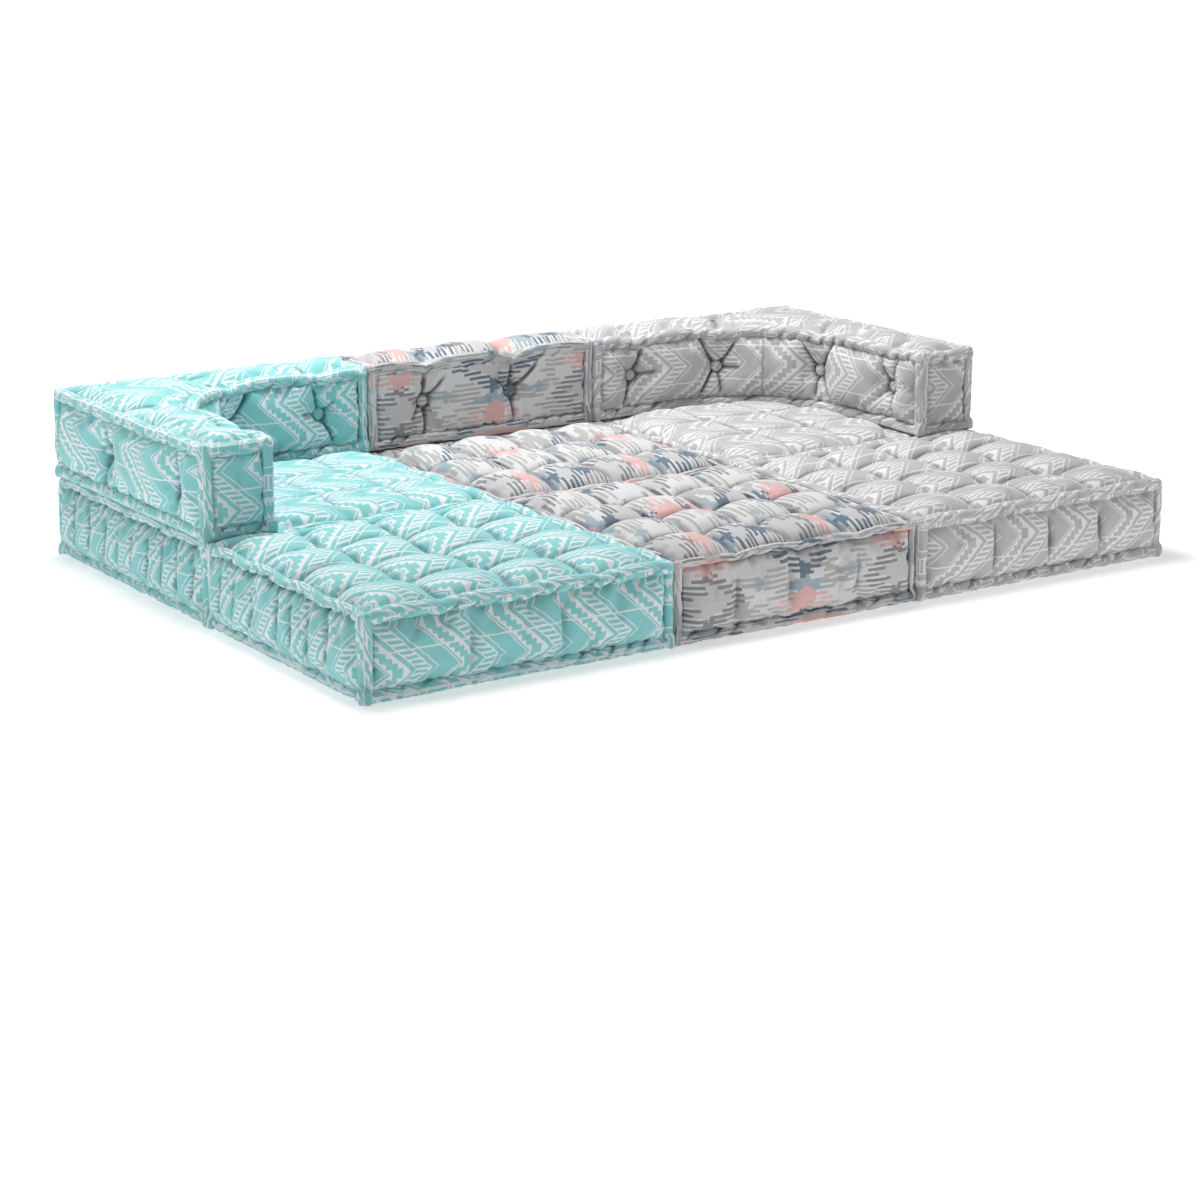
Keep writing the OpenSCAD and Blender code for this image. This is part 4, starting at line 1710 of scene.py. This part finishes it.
    def buttons(self, wardrobe: Wardrobe) -> Piece | None:
        """Cover the buttons in the cushion's cloth and seat them in their tufts.

        Args:
            wardrobe: The finishes.

        Returns:
            The buttons as one piece, or None without any.
        """
        if not self.button_runs:
            return None
        patches = [self._button_patch(run, index) for index, run in enumerate(self.button_runs)]
        piece = weld(f"{self.body}_covered_buttons", patches)
        piece.data.materials.append(wardrobe.prints[self.colourway])
        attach(piece, self.body)
        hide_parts(f"{self.body}_buttons")
        return piece

    def _button_patch(self, run: float, index: int) -> Patch:
        """Shape one covered button as a pleated dome with a rounded rim.

        Args:
            run: Place on the near edge.
            index: Number of the button.

        Returns:
            The patch.
        """
        here, surface = self.plan.near(run, self.BUTTON_INSET), self.plan.near(run, 0.0)
        out = (surface - here) / np.linalg.norm(surface - here)
        side = np.array([-out[1], out[0]])
        turns = np.linspace(0, 2 * np.pi, 37)
        points = np.zeros((len(self.BUTTON), len(turns), 3))
        cloth = np.zeros((len(self.BUTTON), len(turns), 2))
        for i, (radius, level) in enumerate(self.BUTTON):
            crimp = 1 - 0.035 * np.abs(np.sin(turns * 6.5)) * (radius / 0.016) ** 2
            across, up = radius * crimp * np.cos(turns), radius * crimp * np.sin(turns)
            points[i, :, 0] = here[0] + side[0] * across + out[0] * level
            points[i, :, 1] = here[1] + side[1] * across + out[1] * level
            points[i, :, 2] = self.height / 2 + up
            cloth[i] = paired(across + 0.31 + 0.07 * index, up + 0.13)
        points[:, -1] = points[:, 0]
        plain = np.zeros(points.shape[:2])
        return Patch(self.world(points), cloth, plain, plain, flip=self.mirrored)

    def build(self, wardrobe: Wardrobe) -> None:
        """Make the pieces that show and finish the ones that stay as they are in the frame.

        Args:
            wardrobe: The finishes.
        """
        for make in (self.jacket, self.rolls, self.buttons):
            piece = make(wardrobe)
            if piece is not None:
                LOG.info("%s: %d faces", piece.name, len(piece.data.polygons))
        finishes = {"underside": wardrobe.lining, "core": wardrobe.foam, "ties": wardrobe.twine}
        for part, finish in finishes.items():
            node = bpy.data.objects[f"{self.body}_{part}"]
            node.data.materials.clear()
            node.data.materials.append(finish)
            LOG.info("%s: finished as it is", node.name)


def even_path(path: Array, step: float, level: float) -> Array:
    """Space the points of a closed plan path evenly and round its corners a little.

    Args:
        path: Plan points along the path.
        step: Wanted distance between points.
        level: Height of the path.

    Returns:
        Points with x, y and z, the first not repeated.
    """
    ring = np.concatenate([path, path[:1]])
    gaps = np.hypot(*np.diff(ring, axis=0).T)
    ring = ring[np.concatenate([[True], gaps > 1e-6])]
    along = np.concatenate([[0.0], np.cumsum(gaps[gaps > 1e-6])])
    at = np.linspace(0, along[-1], max(8, round(along[-1] / step)) + 1)[:-1]
    spread = np.stack([np.interp(at, along, ring[:, axis]) for axis in (0, 1)], axis=1)
    for _ in range(2):
        spread = 0.5 * spread + 0.25 * (np.roll(spread, 1, axis=0) + np.roll(spread, -1, axis=0))
    return np.concatenate([spread, np.full((len(spread), 1), level)], axis=1)


@dataclass
class RolledEdge:
    """A rolled edge: a soft tube, hand-stitched so that slanting crimps run along it."""

    # How deep a crimp goes, the distance between small ones and the print's shift between rolls.
    CRIMP = 0.0080
    SMALL_PITCH = 0.0180
    PRINT_STEP = 0.061
    POST_PRINT = 0.136

    path: Array
    radius: float
    closed: bool
    seed: float
    seam: float = 0.0
    lean: float = 1.0
    crimps: float = 1.0
    flat: float = 0.0
    around: int = 14
    pitch: float = 0.052
    slim: float = 0.0

    def patch(self) -> Patch:
        """Wrap the cloth round the path.

        Returns:
            The patch.
        """
        side, rise = self._ways()
        steps = np.linalg.norm(np.diff(self.path, axis=0), axis=1)
        along = np.concatenate([[0.0], np.cumsum(steps)])
        s, t = np.meshgrid(along, np.linspace(0, 2 * np.pi, self.around + 1), indexing="ij")
        radius, crimp_shade = self._crimped(s, t)
        sway = 0.0012 * ripple(along, 0.055, self.seed + 6)
        lift = 0.0016 * ripple(along, 0.070, self.seed + 9)
        if self.closed:
            calm = ramp(from_end(along, along[-1]), 0.0, 0.05)
            sway, lift = sway * calm, lift * calm
        middle = self.path + side * sway[:, None] + rise * lift[:, None]
        ring = ((np.cos(t) * radius)[..., None] * side[:, None, :]
                + (np.sin(t) * radius)[..., None] * rise[:, None, :])
        points = middle[:, None, :] + ring
        lead = 0.0 if self.closed else self.POST_PRINT
        cloth = paired(s + lead + 0.02 * np.sin(t), t * self.radius + self.seed * self.PRINT_STEP)
        if self.closed:
            points = np.concatenate([points, points[:1]])
            end = cloth[:1].copy()
            end[..., 0] += along[-1] + steps[-1]
            cloth = np.concatenate([cloth, end])
        else:
            points, cloth = self._capped(points, cloth, middle)
        points[:, -1] = points[:, 0]
        # Painted shade in the crimps; the caps get none.
        painted_shade = np.zeros(points.shape[:2])
        start = 0 if self.closed else (len(points) - len(crimp_shade)) // 2
        painted_shade[start:start + len(crimp_shade)] = crimp_shade
        return Patch(points, cloth, painted_shade, painted_shade)

    def _ways(self) -> tuple[Array, Array]:
        """Give the way sideways and the way up, across the path, at each of its points.

        Returns:
            Both ways, one row for each point.
        """
        path = self.path
        if self.closed:
            tangent = np.roll(path, -1, axis=0) - np.roll(path, 1, axis=0)
        else:
            tangent = np.vstack([path[1:], path[-1:]]) - np.vstack([path[:1], path[:-1]])
        tangent /= np.linalg.norm(tangent, axis=1)[:, None]
        upright = np.abs(tangent[:, 2]).max() > 0.5
        side = np.cross(tangent, [1.0, 0.0, 0.0] if upright else [0.0, 0.0, 1.0])
        side /= np.linalg.norm(side, axis=1)[:, None]
        return side, np.cross(side, tangent)

    def _crimped(self, s: Array, t: Array) -> tuple[Array, Array]:
        """Give the radius of the roll and how much painted shade its crimps get.

        Args:
            s: Distance along the path.
            t: Angle round it.

        Returns:
            The radius and the depth in a crimp, 0 to 1, at each place.
        """
        from_seam = np.mod(t - self.seam + np.pi, 2 * np.pi) - np.pi
        grip = (0.5 + 0.5 * np.cos(from_seam)) ** 0.8
        fade = ramp(from_end(s, s[-1, 0]), 0.0, 0.02) if self.closed else 1.0
        place = s + 0.026 * ripple(s, 0.105, self.seed) * fade - self.lean * 0.0140 * from_seam
        crimp, deep = self._folds(place / self.pitch, 0.62, self.seed + 1)
        small, slight = self._folds(place / self.SMALL_PITCH + 0.3, 0.8, self.seed + 2)
        groove = self.crimps * fade * (crimp * deep + 0.22 * small * slight)
        radius = self.radius * (1.03 + 0.05 * ripple(s, 0.06, self.seed + 2))
        radius = radius - self.CRIMP * groove * (0.20 + 0.80 * grip)
        radius = radius * (1 - self.slim * (1 - ramp(self.path[:, 0], 0.013, 0.040)))[:, None]
        radius = radius + 0.0005 * mottle(s, t * 0.012, 0.011, self.seed + 4)
        if self.flat:
            across, beside = np.cos(t - self.seam) / 0.72, np.sin(t - self.seam) / self.flat
            radius = radius * (np.abs(across) ** 3 + np.abs(beside) ** 3) ** (-1 / 3)
        return radius, np.clip(groove * grip ** 1.5 * 1.3 - 0.30, 0, 1)

    def _folds(self, phase: Array, skew: float, seed: float) -> tuple[Array, Array]:
        """Give how deep in a crimp each place lies, 0 to 1, and how strongly that crimp is pulled."""
        part = np.mod(phase, 1.0) ** skew
        return 1 - (4 * part * (1 - part)) ** 0.80, 0.15 + 0.85 * hashed(np.floor(phase + 0.5), seed)

    def _capped(self, points: Array, cloth: Array, middle: Array) -> tuple[Array, Array]:
        """Close both ends of an open roll with a rounded cap.

        Args:
            points: The tube's points.
            cloth: Their places on the cloth.
            middle: The middle of each ring.

        Returns:
            The points and places with caps.
        """
        for first in (True, False):
            end, centre = (points[0], middle[0]) if first else (points[-1], middle[-1])
            outward = centre - (middle[1] if first else middle[-2])
            outward = outward / np.linalg.norm(outward)
            rings = [centre + (end - centre) * math.cos(a) + outward * self.radius * 0.6 * math.sin(a)
                     for a in (0.6, 1.15)]
            rings.append(np.broadcast_to(centre + outward * self.radius * 0.6, end.shape))
            edge = cloth[:1] if first else cloth[-1:]
            caps = np.stack(rings[::-1] if first else rings)
            flat = np.repeat(edge, len(rings), axis=0)
            if first:
                points, cloth = np.concatenate([caps, points]), np.concatenate([flat, cloth])
            else:
                points, cloth = np.concatenate([points, caps]), np.concatenate([cloth, flat])
        return points, cloth


@dataclass
class Inflation:
    """Blows the cut cloth up between its stitches, as the wadding does."""

    frames: int = 20
    pressure: float = 4.0
    slack: float = -0.06
    cap: float = 0.012

    def run(self, cushions: Sequence[Cushion]) -> None:
        """Simulate all cushions together and move their cloth by what they find.

        Args:
            cushions: The cushions whose cloth is cut but not yet sewn.
        """
        trials = [(cushion, *self._trial(cushion)) for cushion in cushions]
        scene = bpy.context.scene
        for frame in range(1, self.frames + 1):
            scene.frame_set(frame)
        view = bpy.context.evaluated_depsgraph_get()
        for cushion, piece, coarse in trials:
            blown = piece.evaluated_get(view)
            self._move(cushion, coarse, coordinates(blown.data) - coordinates(piece.data))
        for _, piece, _ in trials:
            mesh = piece.data
            bpy.data.objects.remove(piece)
            bpy.data.meshes.remove(mesh)
        scene.frame_set(1)

    def _trial(self, cushion: Cushion) -> tuple[Piece, list[Patch]]:
        """Make a coarse copy of the cloth and give it a cloth simulation.

        Args:
            cushion: The cushion.

        Returns:
            The trial piece and its patches.
        """
        coarse = [patch.coarse() for patch in cushion.cut]
        piece = weld("trial", coarse)
        kept = joined(coarse)[1]
        hold = np.concatenate([patch.hold.ravel() for patch in coarse])[kept]
        group = piece.vertex_groups.new(name="hold")
        for index, weight in enumerate(hold):
            group.add([index], float(weight), "REPLACE")
        cloth = piece.modifiers.new("wadding", "CLOTH")
        settings = dict(
            quality=5, mass=0.3, tension_stiffness=15.0, compression_stiffness=15.0, shear_stiffness=5.0,
            bending_stiffness=0.5, use_pressure=True, uniform_pressure_force=self.pressure,
            shrink_min=self.slack, vertex_group_mass=group.name)
        for name, value in settings.items():
            setattr(cloth.settings, name, value)
        cloth.settings.effector_weights.gravity = 0.0
        cloth.collision_settings.use_collision = False
        cloth.point_cache.frame_start = 1
        cloth.point_cache.frame_end = self.frames
        return piece, coarse

    def _move(self, cushion: Cushion, coarse: Sequence[Patch], shift: Array) -> None:
        """Move the cut cloth, no point further than the cap.

        Args:
            cushion: The cushion.
            coarse: The trial's patches.
            shift: How far each point of the trial moved.
        """
        size = np.linalg.norm(shift, axis=1)[:, None] + 1e-9
        shift = shift / size * self.cap * np.tanh(size / self.cap)
        furthest = float(np.linalg.norm(shift, axis=1).max())
        LOG.info("%s swells by up to %.1f mm", cushion.body, TO_MM * furthest)
        shared = joined(coarse)[2]
        start = 0
        for patch, cut in zip(coarse, cushion.cut):
            rows, columns = patch.points.shape[:2]
            found = shared[start:start + rows * columns]
            cut.move(shift[found].reshape(rows, columns, 3))
            start += rows * columns


@dataclass
class Sofa:
    """The nine cushions, placed by the boxes of their solids.

    Thick is how deep the backs are, and radius is that of their rounded corners. The cloth
    may stand proud of an outer face and keeps a gap to a neighbour.
    """

    FOLDS = {"left": (0.32, 0.61), "middle": (0.22, 0.44, 0.71), "right": (0.27, 0.48, 0.70)}
    SEEDS = {"left": 1.0, "middle": 2.0, "right": 3.0}

    wardrobe: Wardrobe
    thick: float = 0.185
    radius: float = 0.320
    proud: float = 0.021
    gap: float = 0.0010
    seat_swell: float = 0.024
    back_swell: float = 0.017
    back_cell: float = 0.0052

    def box(self, body: str) -> tuple[Array, Array]:
        """Give the lowest and highest corner of a cushion's rolled edges."""
        low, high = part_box(f"{body}_rolls")
        return np.array(low), np.array(high)

    def seat(self, column: str, row: str, colourway: Colourway) -> Cushion:
        """Lay out one seat cushion.

        Args:
            column: left, middle or right.
            row: front or rear.
            colourway: The cloth.

        Returns:
            The cushion, ready to build.
        """
        body = f"{row}_{column}_seat"
        low, high = self.box(body)
        width, depth, height = high - low
        mirrored = column == "right"
        seed = self.SEEDS[column] + (10.0 if row == "rear" else 0.0)
        outer = Side(bulge=0.024, gathers=1.25, seed=seed + 0.3)
        hidden = Side(bulge=0.003, seed=seed + 0.5)
        if row == "rear":
            near, far = hidden, Side(bulge=0.013, gathers=0.8, seed=seed + 0.9)
            top = Top(crown=0.018, share=0.85 if column == "middle" else 0.30, seed=seed,
                      front=self._in_front(column, depth))
        else:
            near = Side(bulge=0.020, gathers=0.18, folds=self.FOLDS[column],
                        fold=0.009 if mirrored else 0.006, seed=seed + 0.7)
            far, top = hidden, Top(crown=0.014, seed=seed)
        return Cushion(
            body, BlockPlan(width, depth), height, tuple(low), colourway, near, far,
            start=hidden if column == "middle" else outer, end=hidden, top=top,
            limits=self._limits(column, row, low, high), mirrored=mirrored, roll_seed=seed)

    def _in_front(self, column: str, depth: float) -> Front:
        """Give how far a point of a rear seat lies in front of the back on it.

        Args:
            column: left, middle or right.
            depth: Depth of the seat.

        Returns:
            What measures the distance at a place.
        """
        if column == "middle":
            return lambda x, y: depth - self.thick - y
        centre = np.array([self.thick + self.radius, depth - self.thick - self.radius])

        def corner(x: Array, y: Array) -> Array:
            """Measure from the rounded inner face of a corner back.

            Args:
                x: Places in plan.
                y: Places in plan.

            Returns:
                The distance at each place.
            """
            dx, dy = x - centre[0], y - centre[1]
            straight = np.minimum(x - self.thick, depth - self.thick - y)
            return np.where((dx < 0) & (dy > 0), self.radius - np.hypot(dx, dy), straight)

        return corner

    def _limits(self, column: str, row: str, low: Array, high: Array) -> tuple[Array, Array]:
        """Give how far the cloth may reach: a little proud where no neighbour stands.

        Args:
            column: left, middle or right.
            row: front, rear or back.
            low: Lowest corner of the solid.
            high: Its highest corner.

        Returns:
            The lowest and the highest corner that the cloth may reach.
        """
        west = low[0] - (self.proud if column == "left" else -self.gap)
        east = high[0] + (self.proud if column == "right" else -self.gap)
        south = low[1] - (self.proud if row == "front" else -self.gap)
        north = high[1] + (-self.gap if row == "front" else self.proud)
        ceiling = high[2] + (self.back_swell if row == "back" else self.seat_swell)
        return np.array([west, south, low[2]]), np.array([east, north, ceiling])

    def corner_back(self, column: str, colourway: Colourway) -> Cushion:
        """Lay out one rounded corner back.

        Args:
            column: left or right.
            colourway: The cloth.

        Returns:
            The cushion, ready to build.
        """
        body = f"{column}_back"
        low, high = self.box(body)
        width, depth, height = high - low
        plan = CornerPlan(width, depth, self.thick, self.radius)
        seed = 31.0 if column == "left" else 33.0
        arm_step = (plan.arm + plan.arc / 2) / 8
        back_step = (plan.back + plan.arc / 2) / 8
        runs = (2 * arm_step, 6 * arm_step, plan.run - 6 * back_step, plan.run - 2 * back_step)
        creases = (
            ((112.0, 0.078, 0.014), (176.0, 0.060, 0.009), (-62.0, 0.085, 0.014), (40.0, 0.045, 0.006)),
            ((128.0, 0.080, 0.013), (50.0, 0.110, 0.018), (-48.0, 0.100, 0.016), (-100.0, 0.075, 0.010),
             (184.0, 0.055, 0.008)),
            ((130.0, 0.110, 0.018), (-132.0, 0.100, 0.016), (-84.0, 0.075, 0.011), (55.0, 0.078, 0.012)),
            ((124.0, 0.090, 0.016), (64.0, 0.070, 0.009), (-110.0, 0.080, 0.012), (-40.0, 0.050, 0.006)),
        )
        inner = Side(bulge=0.019, seed=seed, seam=plan.arm + plan.arc * 0.52,
                     tufts=tufted(runs[::-1], height / 2, 0.038, 0.085, creases))
        outward = ((98.0, 0.090, 0.018), (-80.0, 0.095, 0.024), (125.0, 0.06, 0.010), (-108.0, 0.06, 0.010))
        outer = Side(bulge=0.024, seed=seed + 1, corner=plan.arm + plan.arc / 2,
                     tufts=tufted(runs, height / 2, 0.034, 0.100, (outward,) * len(runs)))
        end = Side(bulge=0.006, seed=seed + 2)
        top = Top(crown=0.015, tuft=0.024, cells=(5, 1), share=0.95, seed=seed,
                  tuft_lines=tuple(sorted(run / plan.run for run in runs)))
        return Cushion(
            body, plan, height, tuple(low), colourway, inner, outer, start=end, end=end, top=top,
            limits=self._limits(column, "back", low, high), mirrored=column == "right",
            cell=self.back_cell, end_way=-1.0, roll_seed=seed, button_runs=runs)

    def straight_back(self) -> Cushion:
        """Lay out the straight back of the middle column.

        Returns:
            The cushion, ready to build.
        """
        body = "middle_back"
        low, high = self.box(body)
        width, depth, height = high - low
        runs = (0.175, 0.447)
        creases = (
            ((96.0, 0.082, 0.014), (44.0, 0.075, 0.010), (-88.0, 0.085, 0.014), (-140.0, 0.060, 0.007)),
            ((95.0, 0.082, 0.014), (38.0, 0.110, 0.013), (-84.0, 0.085, 0.014), (150.0, 0.070, 0.008)),
        )
        front = Side(bulge=0.015, seed=41.0, tufts=tufted(runs, height / 2, 0.038, 0.085, creases))
        upright = ((92.0, 0.08, 0.014), (-92.0, 0.08, 0.014))
        rear = Side(bulge=0.013, seed=42.0,
                    tufts=tufted(runs, height / 2, 0.018, 0.050, (upright,) * len(runs)))
        end = Side(bulge=0.003, seed=43.0)
        top = Top(crown=0.014, tuft=0.022, cells=(3, 1), share=0.95, seed=44.0,
                  tuft_lines=tuple(run / width for run in runs))
        return Cushion(
            body, BlockPlan(width, depth), height, tuple(low), Colourway.IKAT, front, rear,
            start=end, end=end, top=top, limits=self._limits("middle", "back", low, high),
            cell=self.back_cell, roll_seed=45.0, button_runs=runs)

    def build(self) -> None:
        """Make all nine cushions."""
        ways = (("left", Colourway.TEAL), ("middle", Colourway.IKAT), ("right", Colourway.GREY))
        cushions = [self.seat(column, row, way) for row in ("front", "rear") for column, way in ways]
        cushions += [self.corner_back("left", Colourway.TEAL), self.straight_back(),
                     self.corner_back("right", Colourway.GREY)]
        Inflation().run(cushions)
        for cushion in cushions:
            cushion.build(self.wardrobe)


@dataclass(frozen=True)
class Softbox:
    """A square light that is aimed at the sofa."""

    name: str
    place: tuple[float, float, float]
    size: float
    power: float
    aim: tuple[float, float, float] = (0.0, 0.0, 0.2)


@dataclass
class Studio:
    """Plain pale floor, soft light and the camera at the photograph's angle."""

    SOFTBOXES = (
        Softbox("key_softbox", (-2.9, 0.1, 1.3), 1.3, 12.0),
        Softbox("top_softbox", (-0.2, 0.7, 3.0), 2.0, 120.0),
        Softbox("front_softbox", (1.5, -3.1, 0.9), 1.8, 15.0),
    )

    eye: tuple[float, float, float] = (-3.930, -5.837, 1.789)
    yaw: float = 0.589
    pitch: float = 0.265
    lens: float = 85.9
    floor_half: float = 60.0
    sky: float = 0.26
    glow: float = 0.36
    far_glow: float = 0.9
    glow_slope: float = 0.28
    glow_start: float = 0.36

    def build(self) -> None:
        """Set the floor, the light and the camera."""
        self._floor()
        self._lights()
        self._camera()

    def _floor(self) -> None:
        """Lay the floor."""
        half = self.floor_half
        mesh = bpy.data.meshes.new("floor")
        corners = [(-half, -half, 0), (half, -half, 0), (half, half, 0), (-half, half, 0)]
        mesh.from_pydata(corners, [], [(0, 1, 2, 3)])
        floor = bpy.data.objects.new("floor", mesh)
        bpy.context.scene.collection.objects.link(floor)
        loom = Loom("studio_floor")
        surface = loom.surface.inputs
        surface["Base Color"].default_value = (0.92, 0.92, 0.92, 1.0)
        surface["Roughness"].default_value = 0.9
        surface["Emission Color"].default_value = (1.0, 1.0, 1.0, 1.0)
        place = loom.nodes.new("ShaderNodeTexCoord")
        far = loom.nodes.new("ShaderNodeVectorMath")
        far.operation = "LENGTH"
        loom.join(place.outputs["Object"], far.inputs[0])
        # The floor glows: weakly near the sofa, where it lights the sofa from below and lightens its shadow,
        # and white far off.
        slope = Signal(loom, far.outputs["Value"]) * self.glow_slope - self.glow_start
        glow = loom.math("SMOOTH_MIN", slope, self.far_glow, 0.4)
        loom.join(glow.either(self.glow), surface["Emission Strength"])
        mesh.materials.append(loom.material)

    def _lights(self) -> None:
        """Light the world softly, show it white to the camera and hang the softboxes."""
        world = bpy.data.worlds.new("studio")
        world.use_nodes = True
        tree = world.node_tree
        lit, shown = tree.nodes["Background"], tree.nodes.new("ShaderNodeBackground")
        for background, strength in ((lit, self.sky), (shown, 1.0)):
            background.inputs[0].default_value = (1.0, 1.0, 1.0, 1.0)
            background.inputs[1].default_value = strength
        mix, rays = tree.nodes.new("ShaderNodeMixShader"), tree.nodes.new("ShaderNodeLightPath")
        tree.links.new(rays.outputs["Is Camera Ray"], mix.inputs[0])
        tree.links.new(lit.outputs[0], mix.inputs[1])
        tree.links.new(shown.outputs[0], mix.inputs[2])
        tree.links.new(mix.outputs[0], tree.nodes["World Output"].inputs[0])
        bpy.context.scene.world = world
        for softbox in self.SOFTBOXES:
            light = bpy.data.lights.new(softbox.name, "AREA")
            light.shape = "SQUARE"
            light.size = softbox.size
            light.energy = softbox.power
            lamp = bpy.data.objects.new(softbox.name, light)
            lamp.location = softbox.place
            lamp.visible_camera = False
            aim = np.array(softbox.aim) - np.array(softbox.place)
            flat = math.hypot(aim[0], aim[1])
            lamp.rotation_euler = (math.atan2(flat, -aim[2]), 0.0, math.atan2(-aim[0], aim[1]))
            bpy.context.scene.collection.objects.link(lamp)

    def _camera(self) -> None:
        """Stand the camera where the photograph was taken from."""
        camera = bpy.data.cameras.new("camera")
        camera.lens = self.lens
        camera.sensor_width = 36.0
        camera.clip_end = 300.0
        eye = bpy.data.objects.new("camera", camera)
        eye.location = self.eye
        eye.rotation_euler = (math.pi / 2 - self.pitch, 0.0, -self.yaw)
        bpy.context.scene.collection.objects.link(eye)
        bpy.context.scene.camera = eye
        bpy.context.scene.view_settings.view_transform = "Standard"


def main() -> None:
    """Load the frame, set the studio and dress the sofa."""
    logging.basicConfig(level=logging.INFO, format="%(message)s")
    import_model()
    Studio().build()
    Sofa(Wardrobe()).build()


if __name__ == "__main__":
    main()
